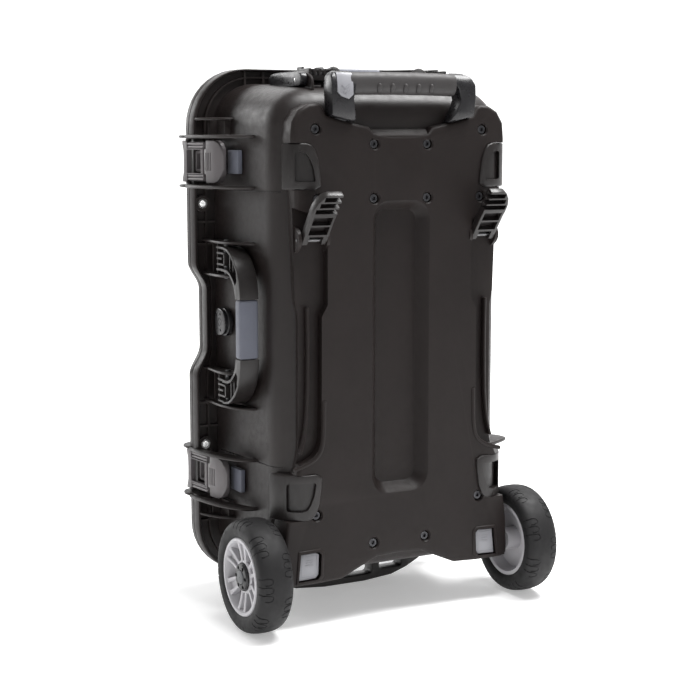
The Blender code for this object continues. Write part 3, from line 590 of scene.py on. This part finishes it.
recess = loft("c", [(-1, rounded(35.5, 156.5, 20, 290)), (0, rounded(34.5, 155.5, 20, 290)),
                    (2.2, rounded(31.5, 152.6, 17, 290)), (10.6, rounded(26.2, 147.5, 12, 290)),
                    (12.6, rounded(24, 145.5, 11, 290))], None)
pan = box("c", (-32.6, 32.6), (4, 16), (136.4, 443.6), None)
cut(plate, pan, "UNION")
cut(plate, recess)


def bumper_outline(side, zone, spread):
    z_mid, half_z, lean = (481.5, 23.5, 1) if zone == "upper" else (140, 24, -1)
    half_z += spread
    inner = [(96 - spread, -1), (95.6 - spread, -0.86), (96.2 - spread, -0.4), (98.6 - spread, 0.3),
             (102.4 - spread, 0.72), (106.5 - spread, 0.93), (112 - spread, 1)]
    return ([(side * (102 - spread), z_mid - lean * half_z)] +
            [(side * x, z_mid + lean * half_z * f) for x, f in inner[1:]] +
            [(side * 190, z_mid + lean * half_z), (side * 190, z_mid - lean * half_z)])


def bumper_skin(name, grow):
    rings = []
    radius = 38
    for k in range(9):
        a = 0.5 * math.pi * k / 8
        inset = radius * (1 - math.sin(a)) - grow
        rings.append((-3 + radius * (1 - math.cos(a)) - grow,
                      rounded(142 - inset, 262 - inset, 40 - inset * 0.5)))
    rings.append((160, rounded(151.5 + grow, 268.5 + grow, 51 + grow)))
    return loft(name, rings, None)


for zone in ("upper", "lower"):
    for side in (-1, 1):
        pierce(plate, bumper_outline(side, zone, 0.15), "v", -10, 50)
bake(plate)
parts = [plate]
lip = prism("w", [(0.2, 508), (0.9, 512.9), (9, 519.6), (11, 519.8), (11, 508)], "x", -34, 34, SMOOTH)
parts.append(bake(soften(lip, 0.8, 2)))
for side in (-1, 1):
    frame_rim = prism("w", flip(side, [(122.6, 84.2), (97, 84.6), (92, 80), (92.6, 54), (97, 48),
                                       (125.6, 47.6)]), "v", -1.6, 6, PLATE)
    soften(frame_rim, 2, 3, 50)
    pierce(frame_rim, flip(side, TAG_WELL), "v", -3, 12)
    parts.append(bake(frame_rim))
    bracket = box("w", both(96, 139, side), (5.2, 36.5), (46.6, 79.5), PLATE)
    pierce(bracket, circle((WHEEL_V, WHEEL_Z), 4.3), "x", *both(93, 150, side))
    parts.append(bake(bracket))
    for x0 in (84.6, 117):
        ear = prism("w", eased([(13, 392), (4, 397), (-1.6, 403), (-1.6, 411), (4, 418), (13, 424)], 2), "x",
                    *both(x0, x0 + 3.6, side), PLATE)
        parts.append(ear)
    arch = [(side * x, 6.6, z)
            for x, z in ((117, 186), (111.6, 205), (108.6, 236), (107.6, 290), (108.2, 338))]
    parts.append(tube("w", eased(arch, 2, closed=False), 4.2, 1.9, PLATE, 10, up=(1, 0, 0)))
    rim = [(side * x, 0.1, z) for x, z in ((127, 170.6), (112.6, 174.6), (102.6, 179), (95.6, 186.4),
            (92.6, 197), (91.8, 212), (91.4, 240))]
    parts.append(tube("w", eased(rim, 2, closed=False), 2.2, 1.7, SMOOTH, 10, up=(0, 1, 0)))
plate = gather("plate_body", parts, PLATE)
place(plate, "case", "plate_charcoal", "back_plate")

heads = []
for x, z in spots:
    bm = bmesh.new()
    skin(bm, [[pt(px, v, pz) for px, pz in circle((x, z), r, 24)]
              for r, v in ((4.7, 6.2), (4.7, 3.4), (4.2, 2.9))])
    head = emit("w", bm, SCREW)
    pierce(head, circle((x, z), 2.2, 6), "v", 0, 5)
    heads.append(bake(head))
place(gather("plate_screws", heads, SCREW), "case", "bright_steel")

for zone, reach in (("upper", 12), ("lower", 29)):
    for tag, side in (("left", -1), ("right", 1)):
        name = "corner_bumper_%s_%s" % (zone, tag)
        bumper = prism("pad_%s_%s" % (zone, tag), bumper_outline(side, zone, 0), "v", -6, reach, SMOOTH)
        cut(bumper, bumper_skin("c", 0), "INTERSECT")
        soften(bumper, 2.2, 3, 50)
        z_mid, lean, wide, deep = (481.5, 1, 123, 2.6) if zone == "upper" else (140, -1, 131.5, 3.6)
        hole = ((102, -15.5), (104.5, -2), (108.5, 8), (112.5, 13.4), (118, 14.8),
                (wide, 14.4), (wide, -15.2))
        window = prism("c", [(side * x, z_mid + lean * z) for x, z in hole], "v", -12, 20, None)
        soften(window, 2.4, 3, 40)
        cut(window, bumper_skin("c", -deep))
        bake(window)
        cut(bumper, window)
        cut(bumper, base_solid("c", 0.3))
        bake(bumper)
        place(bumper, "case", "case_charcoal", name)

# ---------------------------------------------------------------- telescopic handle
parts = []
for side, outline in ((-1, [(56, 526.4), (60.5, 548), (57, 566), (61, 577.5), (82, 577.5), (85.6, 572),
                            (86, 558), (85, 543), (84.4, 532.4), (70, 529)]),
                      (1, [(56, 526.4), (63.5, 539), (67.6, 550), (65, 561), (58.5, 569), (57.5, 577.5),
                           (72, 577.5), (80.5, 574), (85.4, 566), (86, 552), (84.4, 532.4), (70, 529)])):
    post = prism("w", flip(side, outline), "v", -12, 14, GLOSS)
    turn = [(-8, 548), (-8, 564), (-6.2, 571), (-2, 575.6), (3, 577.4), (8, 575.6), (11.2, 570), (11.6, 562),
            (11.6, 524), (1, 524), (-4.5, 529), (-7, 536)]
    cut(post, prism("c", turn, "x", *both(50, 90, side), None), "INTERSECT")
    bake(post)
    soften(post, 1.6, 3, 42)
    if side < 0:
        pierce(post, [(-80.4, 578), (-61.6, 578), (-61.6, 553), (-67, 548.6), (-76, 551.6), (-80.4, 556)],
               "v", -12, -1.6)
    parts.append(bake(post))
trolley = gather("trolley_posts", parts, GLOSS)
place(trolley, "handle_stage", "gloss_black", "trolley_handle")
path = [(x, 2.6, 565 + 0.8 * math.cos(x / 60 * 1.5)) for x in range(-64, 63, 6)]
grip = tube("trolley_grip", path, 10.4, 11.6, GRIP, 32, up=(0, 0, 1), power=2.5)
parts = [bake(soften(grip, 0.8, 2))]
for k in range(5):
    bm = bmesh.new()
    bmesh.ops.create_uvsphere(bm, u_segments=16, v_segments=10, radius=1)
    spot = pt(-31 + 15.5 * k, -6.7, 560.6)
    size = Matrix.Diagonal((0.0029, 0.0024, 0.0052, 1))
    tilt = Matrix.Rotation(math.radians(22), 4, "X")
    bmesh.ops.transform(bm, matrix=Matrix.Translation(spot) @ tilt @ size, verts=bm.verts[:])
    parts.append(emit("w", bm, GRIP))
place(gather("trolley_grip", parts, GRIP), "handle_stage", "gloss_black")

shape = [(-80, 575.4), (-78.6, 576.2), (-63.4, 576.2), (-62, 575), (-62, 553.6), (-67.1, 549.1), (-75.8, 552),
         (-80, 556.2)]
key = prism("w", shape, "v", -8.8, -4.4, LIGHT)
cut(key, prism("c", [(-8.8, 540), (-8.8, 562), (-6.4, 572), (-3.6, 577), (-3.6, 580), (0, 580), (0, 540)],
               "x", -90, -50, None), "INTERSECT")
parts = [bake(soften(key, 0.6, 2))]
for zc in (561.5, 556.5):
    for side in (-1, 1):
        bar = tube("w", [(-71, -8.7, zc - 2.2), (-71 + side * 4.6, -8.7, zc + 1.6)],
                   0.35, 0.8, LIGHT, 6, up=(0, 1, 0))
        parts.append(bar)
place(gather("handle_key", parts, LIGHT), "handle_release", "button_grey", "handle_button")

# ---------------------------------------------------------------- wheels
EDGE = WHEEL_OUT - 19
for tag, side in (("left", -1), ("right", 1)):
    body = "wheel_l" if side < 0 else "wheel_r"
    curve = [(41.2, -16.4), (44, -18.3), (49, -19), (53.5, -18.6), (56.6, -16.4), (58.6, -12.6), (59.7, -7),
             (60, 0), (59.7, 7), (58.6, 12.6), (56.6, 16.4), (53.5, 18.6), (49, 19), (44, 18.3), (41.2, 16.4)]
    tyre = lathe("tread_" + tag, [(r, a + EDGE) for r, a in eased(curve, 1, closed=False)], side, TYRE, 96)
    loops = []
    for group in range(8):
        for k in range(3):
            for face in (-1, 1):
                turn = math.radians(45 * group + 8.5 * (k - 1) + (22.5 if face < 0 else 0))
                path = []
                for da, r, a in ((-3.3, 50.5, 19.4), (-3.3, 54.6, 18.4), (-3.3, 57.4, 15.4),
                                 (-3.3, 59.1, 11.4), (-2.4, 59.9, 8), (0, 60.1, 6.6), (2.4, 59.9, 8),
                                 (3.3, 59.1, 11.4), (3.3, 57.8, 14.6)):
                    b = turn + math.radians(da)
                    path.append((side * (EDGE + face * a),
                                 WHEEL_V + r * math.cos(b), WHEEL_Z + r * math.sin(b)))
                axis = (0, math.cos(turn), math.sin(turn))
                loops.append(tube("w", path, 0.85, 1.1, TYRE, 6, up=axis))
    cut(tyre, gather("c", loops, TYRE))
    place(bake(tyre), body, "tyre_rubber", "tyre_" + tag)

    ring = [(40.9, 16.4), (40, 17.6), (37.4, 17.6), (36.2, 16.2), (35.4, 12), (30.5, 1), (18, 1), (18, 11.6),
            (16.8, 12.8), (15, 12.8), (15, 5), (4.4, 5), (4.4, -17.8), (12, -17.8), (13, -2), (34, -2),
            (37, -16), (40.9, -16)]
    parts = [lathe("w", [(r, a + EDGE) for r, a in ring], side, RIM, 72)]
    for k in range(6):
        turn = math.radians(60 * k + 30)
        for lean in (-1, 1):
            bm = bmesh.new()
            rows = []
            for r, mid, wide, face, deep in ((15.4, 4.1, 1.9, 12.8, 8), (24, 5.1, 1.9, 13.6, 7.5),
                                             (32, 6.3, 2.1, 15, 8), (38.4, 7.8, 3.4, 16.9, 9)):
                row = []
                for w, a in ((mid - wide, face - deep), (mid - wide, face - 0.6), (mid - wide + 0.6, face),
                             (mid + wide - 0.6, face), (mid + wide, face - 0.6), (mid + wide, face - deep)):
                    x, y = r, lean * w
                    row.append(pt(side * (EDGE + a), WHEEL_V + x * math.cos(turn) - y * math.sin(turn),
                                  WHEEL_Z + x * math.sin(turn) + y * math.cos(turn)))
                rows.append(row)
            skin(bm, rows)
            parts.append(emit("w", bm, RIM))
        bm = bmesh.new()
        rows = []
        for r, wide, face in ((15, 4.6, 9.8), (26, 5.8, 10.4), (37.6, 8, 12.2)):
            row = []
            for w, a in ((-wide, face - 4.5), (-wide, face), (wide, face), (wide, face - 4.5)):
                row.append(pt(side * (EDGE + a), WHEEL_V + r * math.cos(turn) - w * math.sin(turn),
                              WHEEL_Z + r * math.sin(turn) + w * math.cos(turn)))
            rows.append(row)
        skin(bm, rows)
        parts.append(emit("w", bm, RIM))
    place(gather("rim_" + tag, parts, RIM), body, "rim_grey", "wheel_rim_" + tag)

    cap = lathe("cap_" + tag, [(0.6, EDGE + 10.4), (14.6, EDGE + 10.4), (14.6, EDGE + 14.4),
                               (13.4, EDGE + 16), (11.6, EDGE + 16.4), (8, EDGE + 16.4), (7.6, EDGE + 15.4),
                               (0.6, EDGE + 15.4)], side, GLOSS, 48)
    tools = []
    for k in range(6):
        turn = math.radians(60 * k)
        tools.append(prism("w", circle((WHEEL_V + 10.9 * math.cos(turn), WHEEL_Z + 10.9 * math.sin(turn)),
                                       2.1, 16), "x", *both(EDGE + 11.8, EDGE + 19, side), GLOSS))
    cut(cap, gather("c", tools, GLOSS))
    bake(cap)
    disc = lathe("disc_" + tag, [(0.5, EDGE + 15.2), (7.3, EDGE + 15.2), (7.3, EDGE + 16.9),
                                 (6.4, EDGE + 17.4), (0.5, EDGE + 17.5)], side, BADGE, 40)
    place(cap, body, "gloss_black", "hub_cap_" + tag)
    place(disc, body, "rim_grey")

    shape = flip(side, [(119, 79.6), (101, 80.2), (97.2, 77.5), (98, 56.5), (101.2, 52.6), (121.6, 51.8)])
    key = prism("w", shape, "v", 1.2, 7, LIGHT)
    parts = [bake(soften(key, 0.9, 3))]
    loop = [(side * x, 1.1, z) for x, z in ((117, 77), (100.5, 77.4), (101, 56), (118.8, 55.2), (117, 77))]
    parts.append(tube("w", loop, 0.3, 0.3, LIGHT, 6, up=(0, 1, 0)))
    for k in range(3):
        parts.append(tube("w", [(side * 113, 1.05, 72.6 - 2.6 * k), (side * 104.5, 1.05, 72.9 - 2.6 * k)],
                          0.35, 0.4, LIGHT, 6, up=(0, 1, 0)))
    place(gather("release_%s" % tag, parts, LIGHT), "release_l" if side < 0 else "release_r", "button_grey",
          "release_button_" + tag)

# ---------------------------------------------------------------- fold-out legs
LEG_V, LEG_Z = 3.5, 407
LEG_REST = 36.5
for tag, side in (("left", -1), ("right", 1)):
    flank = [(-4.2, -2.6), (-2.6, -4.2), (2.5, -4.2), (4.3, -2.5),
             (4.3, 57), (2, 61.5), (-5.3, 61.5), (-5.3, 38), (-4.4, 26)]
    leg = prism("strut_" + tag, [(LEG_V + a, LEG_Z + b) for a, b in flank], "x", *both(88, 116, side), SMOOTH)
    corner = [(118, 34), (116.2, 36), (115.6, 44), (113.2, 52),
              (108.6, 58.5), (102.5, 62.5), (102.5, 66), (118, 66)]
    pierce(leg, [(side * x, LEG_Z + b) for x, b in corner], "v", -20, 20)
    soften(leg, 0.9, 2, 50)
    for k in range(3):
        zk = LEG_Z + 38 + 7.6 * k
        carve(leg, both(86, 113.6 - 3 * k, side), (LEG_V - 12, LEG_V + 1.8), (zk, zk + 5.6))
    for k in range(2):
        zk = LEG_Z + 10 + 12.6 * k
        carve(leg, both(91, 112.6, side), (LEG_V - 12, LEG_V + 2.2), (zk, zk + 10.4))
    carve(leg, both(94, 110, side), (LEG_V - 12, LEG_V + 1.5), (LEG_Z - 6, LEG_Z + 7.4))
    pierce(leg, circle((LEG_V, LEG_Z), 2, 20), "x", *both(85, 120, side))
    bake(leg)
    swing_out = (Matrix.Translation(pt(0, LEG_V, LEG_Z)) @ Matrix.Rotation(math.radians(LEG_REST), 4, "X") @
                 Matrix.Translation(-pt(0, LEG_V, LEG_Z)))
    leg.data.transform(swing_out)
    place(leg, "leg_l" if side < 0 else "leg_r", "case_charcoal", "leg_" + tag)

# ---------------------------------------------------------------- latches
def sheared(obj, slope):
    """Moves the points outward in proportion to their depth past the pull's end of the latch."""
    for vert in obj.data.vertices:
        depth = vert.co.y / MM - BACK_V
        vert.co.x -= (depth - 138) * slope * MM
    return obj


for tag, zc in (("upper", LATCH_Z[0]), ("lower", LATCH_Z[1])):
    shape = [(181.2, 22.3), (180.6, 18), (178.6, 12), (178.2, 0), (178.6, -12), (180.6, -18), (181.2, -22.3),
             (172.5, -22.3), (171.5, -20.8), (137.2, -20.8), (137.2, 20.8), (171.5, 20.8), (172.5, 22.3)]
    hoop = prism("w", [(v, zc + z) for v, z in shape], "x", -166, -160.9, TAUPE)
    soften(hoop, 0.9, 2, 40)
    carve(hoop, (-185, -150), (141.5, 171), (zc - 12.6, zc + 12.6))
    carve(hoop, (-185, -163.6), (136, 170.6), (zc - 24, zc - 13.6))
    carve(hoop, (-185, -163.6), (136, 170.6), (zc + 13.6, zc + 24))
    bake(hoop)
    parts = [hoop]
    for side in (-1, 1):
        for w in (15.4, 19):
            parts.append(tube("w", [(-163.9, 137.6, zc + side * w), (-163.9, 171.2, zc + side * w)],
                              1.55, 1.55, TAUPE, 14))
    for part in parts:
        sheared(part, 0.128)
    parts.append(prism("w", circle((-166.5, 177), 2.2, 20), "z", zc - 24.4, zc + 24.4, TAUPE))
    place(gather("hoop_" + tag, parts, TAUPE), "latch_" + tag, "latch_taupe", "latch_frame_" + tag)

    shape = rounded(14.3, 11.4, 2.6, zc, 5, 152.5)
    link = prism("w", shape, "x", -158.6, -154.2, TAUPE)
    soften(link, 0.7, 2, 40)
    pierce(link, rounded(11.2, 8.6, 1.6, zc, 4, 153), "x", -175, -150)
    bake(link)
    place(gather("link_" + tag, [sheared(link, 0.1)], TAUPE),
          "latch_" + tag, "latch_taupe", "latch_link_" + tag)
    bm = bmesh.new()
    rows = []
    for k in range(9):
        z = zc - 8.3 + 16.6 * k / 8
        bow = 1.2 * math.sin(math.pi * k / 8)
        rows.append([pt(-153.6 - bow - 3 * math.sin(a), 148.6 + 4.2 * math.cos(a), z)
                     for a in [math.pi * (j / 9) for j in range(10)]] +
                    [pt(-152.8, 146, z), pt(-152.8, 151, z)])
    skin(bm, rows)
    place(emit("link_roller_" + tag, bm, ROLLER), "latch_" + tag, "bright_steel")

    side_view = [(-158.4, 131), (-153.9, 107), (-153.6, 103), (-154.8, 101.2), (-157.5, 101.2),
                 (-160.2, 104.5), (-163.6, 117), (-165.8, 129), (-165.6, 133.4), (-163.8, 135.5),
                 (-160.6, 135.8), (-158.6, 134)]
    pull = prism("w", side_view, "z", zc - 24, zc + 24, TAUPE)
    face = [(137, -13.2), (137, 13.2), (129.4, 13.4), (128.6, 22.3), (114, 22.3), (107.5, 19.6), (103.4, 14),
            (101.4, 8), (101, 3), (101, -3), (101.4, -8), (103.4, -14), (107.5, -19.6), (114, -22.3),
            (128.6, -22.3), (129.4, -13.4)]
    cut(pull, prism("c", [(v, zc + z) for v, z in face], "x", -180, -140, None), "INTERSECT")
    soften(pull, 0.9, 3, 40)
    for k in range(4):
        carve(pull, (-172, -163.9 + 0.55 * k), (128.6 - 3 * k, 129.9 - 3 * k), (zc - 9.5, zc + 9.5))
    bake(pull)
    place(gather("pull_" + tag, [pull], TAUPE), "pull_" + tag, "latch_taupe", "latch_pull_" + tag)
    keeper = prism("w", [(-147, 87.6), (-148, 92), (-148, 112), (-145, 114.4), (-142.3, 112), (-141.9, 87.6)],
                   "z", zc - 12.4, zc + 12.4, SLATE)
    bake(soften(keeper, 1, 2, 40))
    place(gather("keeper_" + tag, [keeper], SLATE), "case", "grip_slate", "latch_keeper_" + tag)


# ---------------------------------------------------------------- swing handles
def swing(name, spot, body, pivot_v, toward, reach, low, high):
    """U handle in (u outward, v depth, w along); spot maps to (x, v, z)."""
    def at(distance):
        return pivot_v + toward * distance

    def slab(pts, u0, u1, mat):
        bm = bmesh.new()
        skin(bm, [[pt(*spot(u, at(d), w)) for d, w in pts] for u in (u0, u1)])
        return emit("w", bm, mat)

    def block(u, d, w, mat):
        return slab([(d[0], w[0]), (d[1], w[0]), (d[1], w[1]), (d[0], w[1])], u[0], u[1], mat)

    outer = [(-7.5, 83.5), (14, 83.5), (24, 82), (33, 77.8), (42, 71), (50, 61.5), (55.2, 50), (reach, 38)]
    inner = [(-7.5, 57.5), (12, 57.8), (22, 57.4), (30, 54.6), (37, 48.6), (41.5, 42), (44, 33)]
    outline = (outer + [(d, -w) for d, w in reversed(outer)] +
               [(d, -w) for d, w in inner] + list(reversed(inner)))
    bow = slab(outline, low, high, SMOOTH)
    for u in ((140, low + 2.4), (high - 2, 170)):
        for w in ((-90, -50), (50, 90)):
            cut(bow, block(u, (-12, 9), w, None))
    soften(bow, 3.4, 4, 50)
    for side in (-1, 1):
        pocket = [(-12, 81.2), (14, 81.2), (23.4, 79.6), (32, 75.6), (40.6, 68.6), (47.6, 59.6), (49, 50),
                  (45, 45.4), (39.6, 51), (31.6, 57.4), (23, 60.2), (12, 60.4), (-12, 60)]
        cut(bow, slab([(d, side * w) for d, w in pocket], low + 8, high + 5, None))
    for u in ((high - 2.8, 170), (140, low + 3)):
        cut(bow, block(u, (reach - 20, reach + 5), (-31.5, 31.5), None))
    cut(bow, block((140, 170), (reach - 18, reach - 11.2), (-31.5, 31.5), None))
    cut(bow, block((140, 170), (reach - 2.3, reach + 5), (-31.5, 31.5), None))
    for side in (-1, 1):
        bm = bmesh.new()
        rows = []
        for w in both(49, 90, side):
            rows.append([pt(*spot(153.5 + 3 * math.cos(2 * math.pi * k / 20),
                                  pivot_v + 3 * math.sin(2 * math.pi * k / 20), w)) for k in range(20)])
        skin(bm, rows)
        cut(bow, emit("c", bm, None))
    bake(bow)
    parts = [bow]
    for side in (-1, 1):
        for w0, d0, d1 in ((63.6, -7.2, 12), (75.4, -7.2, 12), (69.6, -7.2, 5)):
            parts.append(block((high - 13, high - 2.6), (d0, d1), both(w0, w0 + 1.9, side), SMOOTH))
        parts.append(block((high - 13, high - 2.6), (10.4, 12.3), both(63.6, 77.3, side), SMOOTH))
        for d, w0, w1 in ((22, 59, 80), (30, 56.5, 77), (38, 50.5, 71)):
            parts.append(block((high - 13, high - 4.2), (d, d + 1.4), both(w0, w1, side), SMOOTH))
    place(gather(name + "_bow", parts, SMOOTH), body, "gloss_black", name)
    sleeve = block((low - 0.2, high + 0.2), (reach - 13.8, reach + 0.3), (-31.2, 31.2), SLATE)
    soften(sleeve, 3.6, 5, 50)
    cut(sleeve, block((low + 2.7, high - 2.5), (reach - 11.5, reach - 2), (-40, 40), None))
    bake(sleeve)
    place(gather(name + "_sleeve", [sleeve], SLATE), body, "grip_slate", name + "_grip")


swing("side_handle", lambda u, v, w: (-u, v, HANDLE_Z + w), "side_grip", 104, -1, 57.5, 143.6, 164.8)
swing("end_handle", lambda u, v, w: (w, v, u + 421.8), "end_grip", 55, 1, 57.5, 144.8, 162)

for tag, side in (("left", -1), ("right", 1)):
    shape = [(39, 571), (41, 565), (47, 562.6), (104, 563), (114, 565.2), (119, 570.2), (115.4, 575.6),
             (104, 578), (60, 578.4), (46, 577.6), (41, 575.6)]
    cover = prism("w", eased(shape, 1), "x", *both(89.4, 97, side), GLOSS)
    soften(cover, 1.6, 3, 30)
    pierce(cover, circle((56, 569.4), 2.6, 24), "x", *both(95.8, 99, side))
    rivet = prism("pivot_rivet_" + tag, circle((56, 569.4), 2.1, 20), "x", *both(95.2, 96.6, side), STEEL)
    place(gather("pivot_cover_" + tag, [bake(cover)], GLOSS), "case", "gloss_black")
    place(bake(soften(rivet, 0.5, 2)), "case", "bright_steel")

# ---------------------------------------------------------------- valve and foot
parts = [bake(soften(prism("w", circle((125, HANDLE_Z), 15.3, 48), "x", -149.4, -144, GLOSS), 1, 3, 40))]
parts.append(prism("w", circle((125, HANDLE_Z), 13.4, 40), "x", -150.4, -148, GLOSS))
shape = eased([(139, -14.6), (139, 14.6), (123, 14.6), (112.6, 8), (112.6, -8), (123, -14.6)], 2)
face = prism("w", [(v, HANDLE_Z + z) for v, z in shape], "x", -153, -149, SMOOTH)
soften(face, 1, 3, 40)
for dz in (-8.6, 8.6):
    pierce(face, circle((125, HANDLE_Z + dz), 1.5, 16), "x", -156, -150.5)
ring = prism("c", circle((126.5, HANDLE_Z), 4.6, 28), "x", -156, -152.4, None)
pierce(ring, circle((126.5, HANDLE_Z), 3.6, 28), "x", -158, -150)
cut(face, bake(ring))
carve(face, (-156, -152.2), (132.5, 134.5), (HANDLE_Z - 9, HANDLE_Z + 9))
parts.append(bake(face))
place(gather("valve_body", parts, GLOSS), "case", "gloss_black", "pressure_valve")

shape = eased([(-92, 13), (-52, 0), (52, 0), (92, 13), (118, 33), (118, 40.4), (-118, 40.4), (-118, 33)], 1)
foot = prism("foot_body", [(x, max(0, z)) for x, z in shape], "v", 126, 144.6, SMOOTH)
for x0, x1, low, high in ((-36, 36, 8, 30), (-76, -46, 12, 32), (46, 76, 12, 32)):
    pierce(foot, rounded((x1 - x0) / 2, (high - low) / 2, 4, (low + high) / 2, 4, (x0 + x1) / 2),
           "v", 120, 150)
soften(foot, 1.2, 2, 40)
bake(foot)
place(foot, "case", "case_charcoal", "stand_foot")

# ---------------------------------------------------------------- foam
pad = loft("foam_base", tub_rings(12, 163, -3.6), FOAM)
for side in (-1, 1):
    carve(pad, both(88.4, 170, side), (-10, 42.2), (10, 86.2))
carve(pad, (-160, 160), (-10, 20), (20, 590))
carve(pad, (-170, 170), (154, 180), (10, 600))
soften(pad, 1.2, 2, 50)
for x, v, z in (((-45, 45), (56, 160), (330, 500)), ((-118, 118), (84, 160), (452, 486)),
                ((-118, 118), (84, 160), (344, 378)), ((-122, -18), (72, 160), (200, 300)),
                ((8, 38), (66, 160), (200, 300)), ((50, 80), (66, 160), (200, 300)),
                ((92, 122), (66, 160), (200, 300)), ((-112, 0), (60, 160), (92, 170)),
                ((24, 112), (60, 160), (104, 170))):
    shape = rounded((x[1] - x[0]) / 2, (z[1] - z[0]) / 2, 5, (z[0] + z[1]) / 2, 4, (x[0] + x[1]) / 2)
    cut(pad, loft("c", [(v[0], shape), (v[1], shape)], None))
bake(pad)
place(pad, "case", "foam_graphite", "base_foam")

bm = bmesh.new()
NX, NZ = 60, 108
grid = []
for i in range(NX + 1):
    row = []
    for j in range(NZ + 1):
        x, z = -134 + 268 * i / NX, 53.5 + 502 * j / NZ
        wave = 0.5 + 0.5 * math.cos(x * math.pi / 13.4) * math.cos((z - MID_Z) * math.pi / 13.4)
        edge = min(1, i / 3, j / 3, (NX - i) / 3, (NZ - j) / 3)
        row.append(bm.verts.new(pt(x, 178.5 - 6 * wave * edge, z)))
    grid.append(row)
for i in range(NX):
    for j in range(NZ):
        bm.faces.new((grid[i][j], grid[i + 1][j], grid[i + 1][j + 1], grid[i][j + 1]))
rim = ([grid[i][0] for i in range(NX)] + [grid[NX][j] for j in range(NZ)] +
       [grid[i][NZ] for i in range(NX, 0, -1)] + [grid[0][j] for j in range(NZ, 0, -1)])
deep = [bm.verts.new(pt(v.co.x / MM, 186, v.co.z / MM)) for v in rim]
for i in range(len(rim)):
    j = (i + 1) % len(rim)
    bm.faces.new((rim[i], rim[j], deep[j], deep[i]))
bm.faces.new(deep)
parts = [emit("w", bm, FOAM)]
parts.append(loft("w", [(179, rounded(139, 256, 38)), (181, rounded(142, 259, 41)),
                        (190, rounded(142, 259, 41)), (198, rounded(139, 256, 38)),
                        (205, rounded(130, 247, 33))], FOAM))
crate = gather("foam_lid", parts, FOAM, 60)
place(crate, "lid", "foam_graphite", "lid_foam")

# ---------------------------------------------------------------- frame pieces kept, with their finishes
KEPT = {"lid_seal": SEAL, "eyelet_": STEEL, "_pin": SCREW, "axle_": STEEL, "_tube_": TUBE,
        "latch_keeper": SLATE, "tyre_": TYRE, "wheel_rim": RIM, "hub_cap": GLOSS, "release_button": LIGHT,
        "handle_button": LIGHT, "trolley_handle": GLOSS, "side_handle_grip": SLATE, "end_handle_grip": SLATE,
        "side_handle": SMOOTH, "end_handle": SMOOTH, "latch_": TAUPE, "leg_": SMOOTH, "back_plate": PLATE,
        "corner_bumper": SMOOTH, "pressure_valve": GLOSS, "stand_foot": SMOOTH,
        "base_foam": FOAM, "lid_foam": FOAM}
for node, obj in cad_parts.items():
    for word, mat in KEPT.items():
        if word in node:
            obj.data.materials.clear()
            obj.data.materials.append(mat)
            break

# ---------------------------------------------------------------- studio
floor = bpy.data.objects.new("floor", bpy.data.meshes.new("floor"))
bm = bmesh.new()
rows = [(-6, 0), (4.2, 0)]
for k in range(1, 13):
    a = 0.5 * math.pi * k / 12
    rows.append((4.2 + 2.5 * math.sin(a), 2.5 * (1 - math.cos(a))))
rows.append((6.7, 9))
verts = [[bm.verts.new(Vector((x, y, z))) for x in (-9, 9)] for y, z in rows]
for a, b in zip(verts, verts[1:]):
    bm.faces.new((a[0], a[1], b[1], b[0]))
bm.to_mesh(floor.data)
bm.free()
floor.data.shade_smooth()
floor.rotation_euler = (0, 0, math.radians(PHOTO_AZIMUTH))
bpy.context.scene.collection.objects.link(floor)
paper = finish("paper", (0.90, 0.90, 0.90), 0.75, 300, 0.02, 0.004, 0)
glow = paper.node_tree.nodes["Principled BSDF"]
glow.inputs["Emission Color"].default_value = (1, 1, 1, 1)
glow.inputs["Emission Strength"].default_value = 0.34
floor.data.materials.append(paper)

world = bpy.data.worlds.new("studio")
world.use_nodes = True
world.node_tree.nodes["Background"].inputs["Color"].default_value = (1, 1, 1, 1)
world.node_tree.nodes["Background"].inputs["Strength"].default_value = 0.40
bpy.context.scene.world = world
bpy.context.scene.view_settings.view_transform = "Standard"


def lamp(name, spot, aim, width, height, power):
    light = bpy.data.lights.new(name, "AREA")
    light.shape = "RECTANGLE"
    light.size, light.size_y = width, height
    light.energy = power
    obj = bpy.data.objects.new(name, light)
    obj.location = spot
    obj.rotation_euler = (Vector(aim) - Vector(spot)).to_track_quat("-Z", "Y").to_euler()
    bpy.context.scene.collection.objects.link(obj)
    return obj


lamp("key_behind_left", (-1.5, 2.6, 1.3), (0, 0, 0.3), 1, 1.4, 30)
lamp("overhead", (0.20, -0.45, 2.6), (0, 0, 0.3), 1, 0.7, 42)
lamp("softbox_top_right", (1.05, -0.25, 2.3), (0, 0, 0.45), 1.5, 0.9, 72)
lamp("top_behind", (0.1, 1.6, 1.9), (0, 0, 0.5), 1.6, 0.6, 9)
lamp("wash_left", (-2.4, -0.9, 1), (0, 0, 0.3), 0.5, 1.4, 2)
lamp("backdrop", (0.6, 2.2, 2.6), (2.2, 4.6, 0.9), 2.5, 1, 120)

camera = bpy.data.objects.new("camera", bpy.data.cameras.new("camera"))
camera.data.lens = 79.7
camera.data.sensor_width = 36
camera.location = (-0.8207, -1.49085, 0.511)
camera.rotation_euler = Vector((0.47165, 0.87121, -0.13614)).to_track_quat("-Z", "Y").to_euler()
bpy.context.scene.collection.objects.link(camera)
bpy.context.scene.camera = camera
